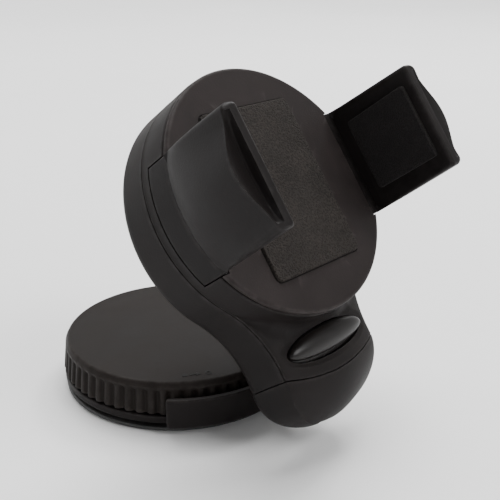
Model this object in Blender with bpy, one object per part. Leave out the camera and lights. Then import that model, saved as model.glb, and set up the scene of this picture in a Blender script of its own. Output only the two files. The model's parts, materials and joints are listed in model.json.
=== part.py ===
"""Dashboard phone holder: a twist-lock suction base, a tilting neck and a
round cradle whose two sprung jaws slide apart together on one pinion.

The base stands on z = 0 with the suction cup centred on the origin.  The
cradle looks towards -Y.  All sizes below are in millimetres.
"""
import math

import bmesh
import bpy
from mathutils import Matrix, Vector

MM = 0.001

# ---------------------------------------------------------------- main sizes
R = 33.0                       # radius of the round cradle
GAP = 0.3                      # clearance between neighbouring parts
WALL = 2.2                     # shell wall
FACE_TILT = 36.3               # face normal above the horizontal, degrees

# suction base
CUP_R = R + 0.8
CUP_T = 2.2
DECK_Z = CUP_T + GAP           # underside of the fixed housing
DECK_T = 2.2
DECK_R = R + 1.0
DOME_TOP = DECK_Z + DECK_T + 1.7
HUB_R = 7.0
STEM_R = 3.9
STEM_BORE = STEM_R + 0.4
FOOT_R = 8.9
LIFT = 1.8                     # travel of the pull stem
LOCK_TURN = 75.0               # turn of the lock dial, degrees
DIAL_Z = DECK_Z + DECK_T + 0.6
BASE_TOP = 14.3
DIAL_TOP_R = R
DIAL_LOW_R = R + 1.2
RIBS = 64
RIB_DEPTH = 0.9
DIAL_CEILING = BASE_TOP - 1.9
RAMP_LOW = 8.0
PIN_R = 0.9
PIN_Z = RAMP_LOW + GAP + PIN_R
STEM_TOP = PIN_Z + 1.7
SHROUD_IN = DIAL_LOW_R + 0.7
SHROUD_OUT = SHROUD_IN + 1.7
SHROUD_TOP = 10.9
SHROUD_HALF = 49.0             # half angle of the shroud, degrees

# cradle, measured from the middle of its face: x across, y up, z out
PART_Z = -0.33 * R             # parting plane of the two shells
BACK_Z = -0.70 * R             # back of the cradle
BACK_ROUND = 3.0
BACK_LEAN = 0.07               # the back sinks away from the face going down
NECK_HALF = 0.52 * R
NECK_FILLET = 0.85 * R
SEAM_R = 1.41 * R              # the hinge cap starts on this arc
HINGE_DOWN = 1.45 * R          # hinge below the middle of the face
HINGE_DEEP = 0.50 * R          # hinge behind the face
CAP_END = 1.75 * R
COVER_TOP = -0.255 * R         # front of the neck at its middle
COVER_EDGE = 0.5               # thickness of the neck cover at its edges
PLATE_T = 2.2
PLATE_R = R - 0.15
BAND_TOP = -PLATE_T + 0.6 - GAP
VALLEY = 4.0

# hinge stack along x
KNUCKLE_R = 4.2
KNUCKLE_HALF = 4.9
LUG_IN = KNUCKLE_HALF + 1.3
LUG_OUT = LUG_IN + 2.2
LUG_R = 3.9
BOLT_R = 1.8
SLOT_HALF = KNUCKLE_HALF + 0.9
SLOT_DEEP = -18.4              # the tongue slot reaches this far forward
SLOT_UP = 32.5                 # and starts this far below the face centre

# jaws
JAW_IN = 0.92 * R              # inner face of a closed jaw
JAW_HALF = 0.455 * R
JAW_TALL = 0.82 * R
JAW_LEDGE = 0.85 * R
COVER_LOW = -0.24 * R
TIP_EDGE = 4.3
TIP_BULGE = 4.2
SCOOP_DEEP = 2.5
SLIDE_TOP = -4.6
SLIDE_LOW = -7.2
JAW_TRAVEL = 15.0

# rack and pinion
TEETH = 14
MODULE = 0.9
PITCH_R = TEETH * MODULE / 2.0
ADDENDUM = 0.72 * MODULE
DEDENDUM = 1.0 * MODULE
BACKLASH = 0.34
RACK_BACK = 12.2
RACK_TIP = 18.0
ROOT_IN = 19.6

# foam pad on the face
FOAM_W = 0.95 * R
FOAM_H = 1.33 * R
FOAM_T = 1.6
FOAM_SINK = 0.8

# pads on the jaws
GRIP_HALF = 0.30 * R
GRIP_LOW = 0.13 * R
GRIP_HIGH = 0.74 * R
GRIP_T = 1.7
GRIP_SINK = 0.5

# tilt button
BUTTON_DOWN = 1.17 * R
BUTTON_A = 14.0
BUTTON_B = 3.7
BUTTON_POST = 11.5
BUTTON_TRAVEL = 0.8

SCREW_AT = 17.3


# ------------------------------------------------------------------ helpers
def clear_scene():
    """Remove whatever the start-up scene holds."""
    for obj in list(bpy.data.objects):
        bpy.data.objects.remove(obj, do_unlink=True)


def material(name, colour, roughness=0.5, metallic=0.0):
    """A plain Principled material."""
    mat = bpy.data.materials.new(name)
    mat.use_nodes = True
    shader = mat.node_tree.nodes["Principled BSDF"]
    shader.inputs["Base Color"].default_value = (*colour, 1.0)
    shader.inputs["Roughness"].default_value = roughness
    shader.inputs["Metallic"].default_value = metallic
    return mat


def empty(name, parent=None, location=(0, 0, 0), rotation=(0, 0, 0)):
    """An axis marker that moving parts hang from."""
    obj = bpy.data.objects.new(name, None)
    bpy.context.collection.objects.link(obj)
    obj.empty_display_size = 0.01
    obj.parent = parent
    obj.location = Vector(location) * MM
    obj.rotation_euler = rotation
    return obj


def close(bm):
    """Merge doubles and turn all faces outward."""
    bmesh.ops.remove_doubles(bm, verts=bm.verts, dist=1e-4)
    bmesh.ops.recalc_face_normals(bm, faces=bm.faces)
    return bm


def place(name, bm, parent, location=(0, 0, 0), rotation=(0, 0, 0), mat=None):
    """Turn a bmesh in millimetres into a linked object in metres."""
    bmesh.ops.scale(bm, vec=(MM, MM, MM), verts=bm.verts)
    mesh = bpy.data.meshes.new(name)
    bm.to_mesh(mesh)
    bm.free()
    obj = bpy.data.objects.new(name, mesh)
    bpy.context.collection.objects.link(obj)
    obj.parent = parent
    obj.location = Vector(location) * MM
    obj.rotation_euler = rotation
    mesh.shade_smooth()
    mesh.set_sharp_from_angle(angle=math.radians(32))
    if mat is not None:
        mesh.materials.append(mat)
    return obj


def lathe(profile, steps=48):
    """Spin a profile of (radius, height) about z.

    A profile that starts on the axis also ends on it; any other one is a
    closed ring.
    """
    bm = bmesh.new()
    verts = [bm.verts.new((r, 0.0, z)) for r, z in profile]
    edges = [bm.edges.new(pair) for pair in zip(verts, verts[1:])]
    if profile[0][0] > 1e-6:
        edges.append(bm.edges.new((verts[-1], verts[0])))
    bmesh.ops.spin(
        bm,
        geom=verts + edges,
        cent=(0, 0, 0),
        axis=(0, 0, 1),
        angle=math.tau,
        steps=steps,
        use_merge=True,
    )
    return close(bm)


def sector(profile, middle, half, steps=24):
    """Sweep a closed (radius, height) profile through part of a turn."""
    rings = []
    for i in range(steps + 1):
        a = math.radians(middle - half + 2 * half * i / steps)
        rings.append([(r * math.cos(a), r * math.sin(a), z) for r, z in profile])
    return loft(rings)


def prism(outline, low, high):
    """Extrude a flat outline between two heights."""
    bm = bmesh.new()
    face = bm.faces.new([bm.verts.new((x, y, low)) for x, y in outline])
    grown = bmesh.ops.extrude_face_region(bm, geom=[face])
    top = [v for v in grown["geom"] if isinstance(v, bmesh.types.BMVert)]
    bmesh.ops.translate(bm, vec=(0, 0, high - low), verts=top)
    return close(bm)


def loft(rings):
    """Bridge equal rings of points and close both ends."""
    bm = bmesh.new()
    rows = [[bm.verts.new(p) for p in ring] for ring in rings]
    count = len(rows[0])
    for a, b in zip(rows, rows[1:]):
        for i in range(count):
            j = (i + 1) % count
            bm.faces.new((a[i], a[j], b[j], b[i]))
    bm.faces.new(rows[0])
    bm.faces.new(list(reversed(rows[-1])))
    return close(bm)


def box(x0, x1, y0, y1, z0, z1):
    """An axis-aligned block."""
    return prism([(x0, y0), (x1, y0), (x1, y1), (x0, y1)], z0, z1)


def turned(bm, axis, degrees):
    """Rotate a bmesh about an axis through the origin."""
    matrix = Matrix.Rotation(math.radians(degrees), 3, axis)
    bmesh.ops.rotate(bm, cent=(0, 0, 0), matrix=matrix, verts=bm.verts)
    return bm


def moved(bm, x=0.0, y=0.0, z=0.0):
    """Shift a bmesh."""
    bmesh.ops.translate(bm, vec=(x, y, z), verts=bm.verts)
    return bm


def soften(obj, width, segments=2, angle=40.0):
    """Round the sharp edges of a finished block."""
    mod = obj.modifiers.new("soft_edges", "BEVEL")
    mod.width = width * MM
    mod.segments = segments
    mod.limit_method = "ANGLE"
    mod.angle_limit = math.radians(angle)
    mod.use_clamp_overlap = True
    mod.harden_normals = False
    return obj


def combine(obj, tool_bm, operation, tag):
    """Join or cut with a tool given in the object's own frame."""
    tool = place(obj.name + "_" + tag, tool_bm, obj.parent, (0, 0, 0))
    tool.location = obj.location.copy()
    tool.rotation_euler = obj.rotation_euler.copy()
    tool.hide_render = True
    tool.display_type = "WIRE"
    mod = obj.modifiers.new(tag, "BOOLEAN")
    mod.operation = operation
    mod.solver = "EXACT"
    mod.object = tool
    return obj


def cut(obj, tool_bm, tag):
    """Take a tool away from an object."""
    return combine(obj, tool_bm, "DIFFERENCE", tag)


def join(obj, tool_bm, tag):
    """Add a tool to an object."""
    return combine(obj, tool_bm, "UNION", tag)


def rod(radius, low, high, x=0.0, y=0.0, steps=20):
    """A round bar along z."""
    bm = lathe([(0, low), (radius, low), (radius, high), (0, high)], steps)
    return moved(bm, x, y)


def arc(cx, cy, radius, start, end, count):
    """Points on a circle from one angle to another, in degrees."""
    out = []
    for i in range(count + 1):
        a = math.radians(start + (end - start) * i / count)
        out.append((cx + radius * math.cos(a), cy + radius * math.sin(a)))
    return out


def rounded_rect(half_x, half_y, radius, count=4):
    """A rectangle with round corners."""
    out = []
    for sx, sy, a in ((1, 1, 0), (-1, 1, 90), (-1, -1, 180), (1, -1, 270)):
        cx = sx * (half_x - radius)
        cy = sy * (half_y - radius)
        out += arc(cx, cy, radius, a, a + 90, count)
    return out


def oval(half_x, half_y, count=32):
    """An ellipse."""
    out = []
    for i in range(count):
        a = math.tau * i / count
        out.append((half_x * math.cos(a), half_y * math.sin(a)))
    return out


def helix_tube(radius, wire, low, high, turns, per_turn=10, sides=4):
    """A coil spring: a round wire wound about z."""
    rings = []
    total = int(turns * per_turn)
    for i in range(total + 1):
        a = math.tau * i / per_turn
        z = low + (high - low) * i / total
        ring = []
        for j in range(sides):
            b = math.tau * j / sides
            r = radius + wire * math.cos(b)
            ring.append((r * math.cos(a), r * math.sin(a), z + wire * math.sin(b)))
        rings.append(ring)
    return loft(rings)


def spiral_band(r_in, r_out, thick, low, high, turns, steps=40):
    """A flat spiral spring standing on edge."""
    outer = []
    inner = []
    for i in range(steps + 1):
        t = i / steps
        a = math.tau * turns * t
        r = r_in + (r_out - r_in) * t
        outer.append(((r + thick / 2) * math.cos(a), (r + thick / 2) * math.sin(a)))
        inner.append(((r - thick / 2) * math.cos(a), (r - thick / 2) * math.sin(a)))
    return prism(outer + inner[::-1], low, high)


# ------------------------------------------------------------------ outlines
def teardrop(offset, end_r, low_pad=0.0):
    """Plan of the cradle and neck, shrunk by an offset.

    The round cradle runs into the straight neck through two hollow fillets
    and the neck ends on an arc of radius end_r about the face centre.
    """
    radius = R - offset
    half = NECK_HALF - offset
    fillet = NECK_FILLET + offset
    reach = radius + fillet
    drop = math.sqrt(reach ** 2 - (half + fillet) ** 2)
    blend = math.degrees(math.atan2(drop, half + fillet))
    right = arc(0, 0, radius, -blend, 90, 24)
    left = arc(0, 0, radius, 90, 180 + blend, 24)[1:]
    left_fillet = arc(-half - fillet, -drop, fillet, blend, 0, 6)[1:]
    right_fillet = arc(half + fillet, -drop, fillet, 180, 180 - blend, 6)[:-1]
    swing = math.degrees(math.asin(half / end_r))
    end = arc(0, 0, end_r, 270 - swing, 270 + swing, 10)
    if low_pad:
        end = [(-half, -end_r - low_pad), (half, -end_r - low_pad)]
    return right + left + left_fillet + end + right_fillet


def back_at(y):
    """Level of the back of the cradle and neck at a height on the face."""
    return BACK_Z + BACK_LEAN * y


def neck_half(down):
    """Half width of the neck at a distance below the face centre."""
    reach = R + NECK_FILLET
    drop = math.sqrt(reach ** 2 - (NECK_HALF + NECK_FILLET) ** 2)
    if down >= drop:
        return NECK_HALF
    if down <= 22.6:
        return math.sqrt((R - 0.2) ** 2 - down ** 2)
    return NECK_HALF + NECK_FILLET - math.sqrt(NECK_FILLET ** 2 - (drop - down) ** 2)


def crown(x, half, edge, top, power=0.7):
    """Height of the crowned front of the neck at a distance across."""
    share = max(0.0, 1.0 - (x / half) ** 2)
    return edge + (top - edge) * share ** power


def fall(t, power):
    """Share of the way from the seam to the bottom that the surface has sunk."""
    return 1.0 - (1.0 - t ** power) ** (1.0 / power)


def bulb_section(down, inset):
    """One cross-section of the hinge cap, in x and z, at a distance down."""
    end = CAP_END - inset
    side = max(0.0, min(1.0, (down - 1.34 * R) / (end - 1.34 * R)))
    t = max(0.0, min(1.0, (down - 1.31 * R) / (end - 1.31 * R)))
    meet = -0.64 * R
    half = (NECK_HALF - inset) * max(1.0 - fall(side, 2.2), 0.02)
    rear = back_at(-down) + inset
    back = rear + (meet - 0.4 - rear) * fall(side, 2.2)
    edge_0 = PART_Z + COVER_EDGE - 0.7 * inset
    front_0 = COVER_TOP - inset
    edge = edge_0 + (meet - edge_0) * fall(t, 1.5)
    front = front_0 + (meet + 0.4 - front_0) * fall(t, 2.2)
    corner = min(BACK_ROUND - 0.5 * inset, 0.45 * (edge - back), 0.45 * half)
    corner = max(corner, 0.01)
    right = [(half - corner + x, back + corner + z) for x, z in arc(0, 0, corner, -90, 0, 4)]
    across = 7
    for i in range(across):
        x = half * math.cos(math.pi / 2 * i / across)
        right.append((x, crown(x, half, edge, front, 0.7 + 0.5 * t)))
    left = [(-x, z) for x, z in reversed(right)]
    return [(x, -down, z) for x, z in right + [(0.0, front)] + left]


def bulb(inset, start):
    """The rounded end of the neck as a stack of cross-sections."""
    rings = []
    steps = 9
    end = CAP_END - inset
    for i in range(steps + 1):
        t = i / steps
        down = start + (end - start) * (1.0 - (1.0 - t) ** 1.9)
        rings.append(bulb_section(down - (0.02 if i == steps else 0.0), inset))
    return loft(rings)


# ------------------------------------------------------------------ the base
def build_base(mats):
    """Suction cup, housing with hinge tongue, lock dial and pull stem."""
    cup = lathe(
        [
            (0, 0), (CUP_R - 0.4, 0), (CUP_R, 0.5), (CUP_R - 0.2, 1.1),
            (CUP_R - 2.4, CUP_T), (FOOT_R + 0.6, CUP_T), (FOOT_R + 0.6, 1.2), (0, 1.2),
        ],
        60,
    )
    place("suction_cup", cup, None, mat=mats["rubber"])

    hub_top = DIAL_CEILING - 0.8
    roof = DECK_Z + DECK_T + 0.2
    deck = lathe(
        [
            (STEM_BORE, roof), (FOOT_R + GAP, roof), (FOOT_R + GAP, DECK_Z),
            (DECK_R - 0.3, DECK_Z), (DECK_R, DECK_Z + 0.4),
            (DECK_R, DECK_Z + DECK_T - 0.3), (DECK_R - 0.3, DECK_Z + DECK_T),
            (FOOT_R + 1.9, DECK_Z + DECK_T), (FOOT_R + 1.9, DOME_TOP),
            (HUB_R, DOME_TOP), (HUB_R, hub_top), (STEM_BORE, hub_top),
        ],
        60,
    )
    housing = place("base_housing", deck, None, mat=mats["shell"])
    shroud = sector(
        [
            (DECK_R - 1.6, DECK_Z + 0.02), (SHROUD_OUT - 0.4, DECK_Z + 0.02),
            (SHROUD_OUT, DECK_Z + 0.5),
            (SHROUD_OUT, SHROUD_TOP - 0.5), (SHROUD_OUT - 0.5, SHROUD_TOP),
            (SHROUD_IN, SHROUD_TOP), (SHROUD_IN, DECK_Z + DECK_T - 0.05),
            (DECK_R - 1.6, DECK_Z + DECK_T - 0.05),
        ],
        -90,
        SHROUD_HALF,
        22,
    )
    join(housing, shroud, "shroud")
    join(housing, tongue(), "tongue")
    cut(housing, box(-HUB_R - 2, HUB_R + 2, -1.2, 1.2, DOME_TOP + 0.4, hub_top + 2), "slots")
    bore = turned(rod(BOLT_R + GAP, -9, 9, steps=20), "Y", 90)
    hy, hz = hinge_world()
    cut(housing, moved(bore, 0, hy, hz), "bore")

    ring = lathe(
        [
            (HUB_R + GAP, DOME_TOP + GAP), (FOOT_R + 1.7, DOME_TOP + GAP),
            (FOOT_R + 1.7, DOME_TOP + 0.9), (HUB_R + GAP, DOME_TOP + 0.9),
        ],
        32,
    )
    place("slip_ring", ring, None, mat=mats["nylon"])
    build_dial(mats)
    build_stem(mats)


def hinge_world():
    """Height and forward distance of the tilt axis."""
    a = math.radians(FACE_TILT)
    face_y = -1.171 * R
    face_z = 1.991 * R
    y = face_y - math.sin(a) * HINGE_DOWN + math.cos(a) * HINGE_DEEP
    z = face_z - math.cos(a) * HINGE_DOWN - math.sin(a) * HINGE_DEEP
    return y, z


def tongue():
    """The arm from the base to the hinge knuckle, drawn in y and z."""
    hy, hz = hinge_world()
    root_y = -(SHROUD_IN + 0.5)
    low = (root_y, DECK_Z + 0.6)
    high = (root_y, SHROUD_TOP - 0.7)
    low_side = arc(hy, hz, KNUCKLE_R, 236, 90, 12)
    outline = [low] + low_side + arc(hy, hz, KNUCKLE_R, 90, 48, 4)[1:] + [high]
    bm = prism([(y, z) for y, z in outline], -KNUCKLE_HALF, KNUCKLE_HALF)
    for v in bm.verts:
        y, z, x = v.co
        v.co = (x, y, z)
    return close(bm)


def build_dial(mats):
    """The ribbed lock dial with its two lifting ramps."""
    rings = []
    levels = (
        (DIAL_Z, DIAL_LOW_R, RIB_DEPTH),
        (BASE_TOP - 1.5, DIAL_TOP_R + 0.6, RIB_DEPTH),
        (BASE_TOP - 0.8, DIAL_TOP_R - 0.2, 0.1),
        (BASE_TOP, DIAL_TOP_R - 1.7, 0.0),
    )
    for z, radius, depth in levels:
        ring = []
        for i in range(RIBS):
            for part, low in ((-0.23, 0), (0.23, 0), (0.5, 1)):
                a = math.tau * (i + part) / RIBS
                r = radius - depth * low
                ring.append((r * math.cos(a), r * math.sin(a), z))
        rings.append(ring)
    dial_axis = empty("dial_axis")
    dial = place("lock_dial", loft(rings), dial_axis, mat=mats["dial"])
    tube_in = HUB_R + 2.8
    hollow = lathe(
        [
            (0, DIAL_Z - 1), (DIAL_TOP_R - 2.0, DIAL_Z - 1), (DIAL_TOP_R - 2.0, DIAL_CEILING),
            (tube_in + 1.8, DIAL_CEILING), (tube_in + 1.8, DOME_TOP + 1.2),
            (tube_in, DOME_TOP + 1.2), (tube_in, DIAL_CEILING), (STEM_BORE + GAP, DIAL_CEILING),
            (STEM_BORE + GAP, DIAL_CEILING + 0.7), (0, DIAL_CEILING + 0.7),
        ],
        48,
    )
    cut(dial, hollow, "hollow")
    for index, start in enumerate((12.0, 192.0)):
        join(dial, ramp(start, tube_in), "ramp_%d" % index)
    return dial


def ramp(start, tube_in):
    """One helical ledge that lifts an end of the cam pin."""
    rings = []
    steps = 12
    r0 = HUB_R + 0.6
    r1 = tube_in + 0.5
    span = 12.0 + LOCK_TURN + 12.0
    for i in range(steps + 1):
        a_deg = start - span * i / steps
        turn = min(max(start - 12.0 - a_deg, 0.0), LOCK_TURN)
        top = RAMP_LOW + LIFT * turn / LOCK_TURN
        a = math.radians(a_deg)
        ring = []
        for r, z in ((r0, DOME_TOP + 1.2), (r1, DOME_TOP + 1.2), (r1, top), (r0, top)):
            ring.append((r * math.cos(a), r * math.sin(a), z))
        rings.append(ring)
    return loft(rings)


def build_stem(mats):
    """The stem that pulls the middle of the cup up, and its cross pin."""
    stem_axis = empty("stem_axis")
    foot = 1.2 + GAP
    shaft = lathe(
        [
            (0, foot), (FOOT_R, foot), (FOOT_R, foot + 1.0), (STEM_R + 1.0, foot + 1.1),
            (STEM_R, foot + 1.6), (STEM_R, STEM_TOP), (0, STEM_TOP),
        ],
        24,
    )
    stem = place("pull_stem", shaft, stem_axis, mat=mats["nylon"])
    bore = turned(rod(PIN_R + 0.15, -8, 8, steps=16), "Y", 90)
    cut(stem, moved(bore, 0, 0, PIN_Z), "pin_hole")
    half = HUB_R + 2.2
    pin = turned(rod(PIN_R, -half, half, steps=16), "Y", 90)
    place("cam_pin", moved(pin, 0, 0, PIN_Z), stem_axis, mat=mats["steel"])


# --------------------------------------------------------------- the cradle
def build_shells(mats, tilt, at):
    """Rear shell, front shell, face plate and hinge cap."""
    levels = []
    for i in range(4):
        a = math.radians(30.0 * i)
        offset = BACK_ROUND * (1 - math.sin(a))
        z = BACK_Z + BACK_ROUND * (1 - math.cos(a))
        levels.append((offset, z))
    levels.append((0.0, PART_Z - GAP / 2))
    rings = []
    for offset, z in levels:
        lean = BACK_LEAN * (PART_Z - GAP / 2 - z) / (PART_Z - GAP / 2 - BACK_Z)
        rings.append([(x, y, z + lean * y) for x, y in teardrop(offset, SEAM_R - GAP / 2)])
    rear = place("rear_shell", loft(rings), tilt, at, mat=mats["shell"])
    plan = teardrop(WALL + 0.3, SEAM_R, 6.0)
    floor = [(x, y, back_at(y) + WALL) for x, y in plan]
    cut(rear, loft([floor, [(x, y, PART_Z + 5) for x, y in plan]]), "cavity")
    for sx in (-1, 1):
        for sy in (-1, 1):
            foot = back_at(sy * SCREW_AT) + WALL - 0.7
            post = rod(3.2, foot, PART_Z - GAP / 2, sx * SCREW_AT, sy * SCREW_AT, 16)
            join(rear, post, "post_%d_%d" % (sx + 1, sy + 1))
    for sx in (-1, 1):
        join(rear, lug(sx), "lug_%d" % (sx + 1))
    for sx in (-1, 1):
        for sy in (-1, 1):
            back = back_at(sy * SCREW_AT)
            drill = lathe(
                [
                    (0, back - 3), (2.9, back - 3), (2.9, back + 1.7),
                    (1.5, back + 1.7), (1.5, PART_Z + 3), (0, PART_Z + 3),
                ],
                16,
            )
            cut(rear, moved(drill, sx * SCREW_AT, sy * SCREW_AT), "drill_%d_%d" % (sx + 1, sy + 1))
    cut(rear, box(-SLOT_HALF, SLOT_HALF, -70, -SLOT_UP, BACK_Z - 6, SLOT_DEEP), "tongue_slot")
    bore = turned(rod(BOLT_R + GAP, -14, 14, steps=16), "Y", 90)
    cut(rear, moved(bore, 0, -HINGE_DOWN, -HINGE_DEEP), "bolt_hole")

    build_front(mats, tilt, at)
    build_face(mats, tilt, at)

    cap = place("hinge_cap", bulb(0.0, 1.29 * R), tilt, at, mat=mats["shell"])
    cut(cap, bulb(WALL - 0.2, 1.24 * R), "cavity")
    cut(cap, rod(SEAM_R + GAP / 2, -40, 10, steps=72), "seam")
    cut(cap, box(-SLOT_HALF, SLOT_HALF, -70, -30, BACK_Z - 6, SLOT_DEEP), "tongue_slot")


def lug(side):
    """An ear of the rear shell that carries one end of the hinge bolt."""
    top = -(HINGE_DOWN - 9.0)
    outline = arc(-HINGE_DOWN, -HINGE_DEEP, LUG_R, 90, 270, 12)
    root = back_at(top) + WALL - 0.6
    outline = [(top, -HINGE_DEEP + LUG_R)] + outline + [(-HINGE_DOWN, root), (top, root)]
    bm = prism(outline, LUG_IN, LUG_OUT)
    for v in bm.verts:
        y, z, x = v.co
        v.co = (side * x, y, z)
    return close(bm)


def neck_reach(swing):
    """Distance from the band to the edge of the neck along one direction."""
    reach = R + NECK_FILLET
    centre = math.asin((NECK_HALF + NECK_FILLET) / reach)
    off = centre - swing
    room = NECK_FILLET ** 2 - (reach * math.sin(off)) ** 2
    if room <= 0:
        return VALLEY * 2
    return min(VALLEY * 2, reach * math.cos(off) - math.sqrt(room) - R)


def valley_ring():
    """The hollow blend between the round band and the neck cover."""
    rings = []
    count = 16
    low = PART_Z + GAP / 2 + 0.1
    for i in range(count + 1):
        swing = math.radians(-37.0 + 74.0 * i / count)
        size = min(VALLEY, 0.7 * neck_reach(abs(swing)))
        out = R + size
        x = out * math.sin(swing)
        top = crown(x, neck_half(out * math.cos(swing)), PART_Z + COVER_EDGE, COVER_TOP) - 0.05
        profile = [(R - 1.2, low), (out, low)]
        for k in range(5):
            a = math.radians(-90 - 22.5 * k)
            profile.append((out + size * math.cos(a), top + size * (1.0 + math.sin(a))))
        profile.append((R - 1.2, top + size))
        rings.append([(r * math.sin(swing), -r * math.cos(swing), z) for r, z in profile])
    return loft(rings)


def neck_cover():
    """The crowned front plate of the neck below the cradle."""
    rings = []
    across = 7
    for down in (20.0, 23.0, 26.0, 29.5, 33.0, 36.5, 40.0, 44.0, SEAM_R + 2.0):
        half = neck_half(down)
        right = [(half, PART_Z + GAP / 2)]
        for i in range(across):
            x = half * math.cos(math.pi / 2 * i / across)
            right.append((x, crown(x, half, PART_Z + COVER_EDGE, COVER_TOP)))
        left = [(-x, z) for x, z in reversed(right)]
        rings.append([(x, -down, z) for x, z in right + [(0.0, COVER_TOP)] + left])
    return loft(rings)


def build_front(mats, tilt, at):
    """The band around the cradle with the neck cover below it."""
    low = PART_Z + GAP / 2
    inner = R - WALL
    band = lathe(
        [(inner, low), (R, low), (R, BAND_TOP), (inner, BAND_TOP)],
        72,
    )
    front = place("front_shell", neck_cover(), tilt, at, mat=mats["shell"])
    combine(front, rod(SEAM_R - GAP / 2, -40, 10, steps=72), "INTERSECT", "seam")
    join(front, band, "band")
    join(front, valley_ring(), "valley")
    bore = rod(inner, low - 2, BAND_TOP + 4, steps=72)
    cut(front, bore, "bore")
    for sx in (-1, 1):
        for sy in (-1, 1):
            a = math.degrees(math.atan2(sy, sx))
            ear = turned(box(24.0, R - 1.0, -2.8, 2.8, low, low + 2.6), "Z", a)
            join(front, ear, "rib_%d_%d" % (sx + 1, sy + 1))
            pad = rod(2.8, low + 0.01, low + 2.59, sx * SCREW_AT, sy * SCREW_AT, 16)
            join(front, pad, "ear_%d_%d" % (sx + 1, sy + 1))
            hole = rod(1.5, low - 2, low + 1.9, sx * SCREW_AT, sy * SCREW_AT, 12)
            cut(front, hole, "hole_%d_%d" % (sx + 1, sy + 1))
    gap = JAW_HALF + GAP
    cut(front, box(-R - 9, R + 9, -gap, gap, COVER_LOW - GAP, 6), "jaw_gaps")
    hole = prism(oval(BUTTON_A + 0.4, BUTTON_B + 0.4, 32), low - 4, 4)
    cut(front, moved(hole, 0, -BUTTON_DOWN, 0), "button_hole")
    return front


def build_face(mats, tilt, at):
    """The front disc the phone lies against."""
    inner = R - WALL
    step = -PLATE_T + 0.6
    disc = lathe(
        [
            (0, -PLATE_T), (inner - 3.0, -PLATE_T), (inner - 3.0, -PLATE_T - 2.0),
            (inner - GAP, -PLATE_T - 2.0), (inner - GAP, step), (PLATE_R, step),
            (PLATE_R, -0.9), (PLATE_R - 0.35, -0.3), (PLATE_R - 1.1, 0), (0, 0),
        ],
        72,
    )
    plate = place("face_plate", disc, tilt, at, mat=mats["face"])
    gap = JAW_HALF + GAP
    for sx in (-1, 1):
        x0, x1 = sorted((sx * (JAW_LEDGE - GAP), sx * (R + 4)))
        cut(plate, box(x0, x1, -gap, gap, -8, 3), "notch_%d" % (sx + 1))
        x0, x1 = sorted((sx * 22.0, sx * (R + 4)))
        cut(plate, box(x0, x1, -gap, gap, -8, -PLATE_T), "lip_gap_%d" % (sx + 1))
    recess = prism(rounded_rect(FOAM_W / 2 + GAP, FOAM_H / 2 + GAP, 2.4, 4), -FOAM_SINK, 4)
    cut(plate, recess, "foam_recess")
    for sx in (-1, 1):
        for sy in (-1, 1):
            tag = "%d_%d" % (sx + 1, sy + 1)
            join(plate, rod(2.4, -7.3, -PLATE_T + 0.4, sx * 8.0, sy * 16.0, 14), "boss_" + tag)
            cut(plate, rod(1.1, -9, -3.4, sx * 8.0, sy * 16.0, 10), "tap_" + tag)
    foam = prism(rounded_rect(FOAM_W / 2, FOAM_H / 2, 2.1, 4), -FOAM_SINK + GAP / 3, FOAM_T - FOAM_SINK)
    pad = place("face_pad", foam, tilt, at, mat=mats["foam"])
    soften(pad, 0.35, 2, 60)


def build_chassis(mats, tilt, at):
    """The plate under the face that carries the pinion and the racks."""
    top = SLIDE_LOW - 0.4
    low = top - 2.0
    floor = SLIDE_LOW - 2.7
    plate = lathe(
        [
            (0, -3.1), (1.8, -3.1), (1.8, floor), (9.6, floor), (9.6, top), (20.9, top),
            (20.9, low), (11.0, low), (11.0, floor - 1.4), (0, floor - 1.4),
        ],
        40,
    )
    chassis = place("slide_chassis", plate, tilt, at, mat=mats["nylon"])
    for sx in (-1, 1):
        for sy in (-1, 1):
            tag = "%d_%d" % (sx + 1, sy + 1)
            cut(chassis, rod(1.4, low - 2, top + 2, sx * 8.0, sy * 16.0, 12), "hole_" + tag)
            screw = lathe(
                [
                    (0, low - 1.6), (2.1, low - 1.6), (2.1, low - GAP), (0.85, low - GAP),
                    (0.85, -4.4), (0, -4.4),
                ],
                12,
            )
            side = "left" if sx < 0 else "right"
            end = "low" if sy < 0 else "high"
            moved(screw, sx * 8.0, sy * 16.0)
            place("chassis_screw_%s_%s" % (side, end), screw, tilt, at, mat=mats["steel"])
    spring = spiral_band(3.9, 9.1, 0.4, floor + 0.4, top - 0.3, 2.6)
    place("jaw_spring", spring, tilt, at, mat=mats["steel"])
    clip = lathe([(2.05, -4.15), (3.6, -4.15), (3.6, -3.6), (2.05, -3.6)], 20)
    place("pinion_clip", clip, tilt, at, mat=mats["steel"])
    for sx in (-1, 1):
        for sy in (-1, 1):
            back = back_at(sy * SCREW_AT)
            screw = lathe(
                [
                    (0, back + 0.2), (2.3, back + 0.2), (2.6, back + 0.5),
                    (2.6, back + 1.4), (1.2, back + 1.4), (1.2, PART_Z + 1.6),
                    (0, PART_Z + 1.6),
                ],
                14,
            )
            side = "left" if sx < 0 else "right"
            end = "low" if sy < 0 else "high"
            moved(screw, sx * SCREW_AT, sy * SCREW_AT)
            place("shell_screw_%s_%s" % (side, end), screw, tilt, at, mat=mats["steel"])


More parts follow.
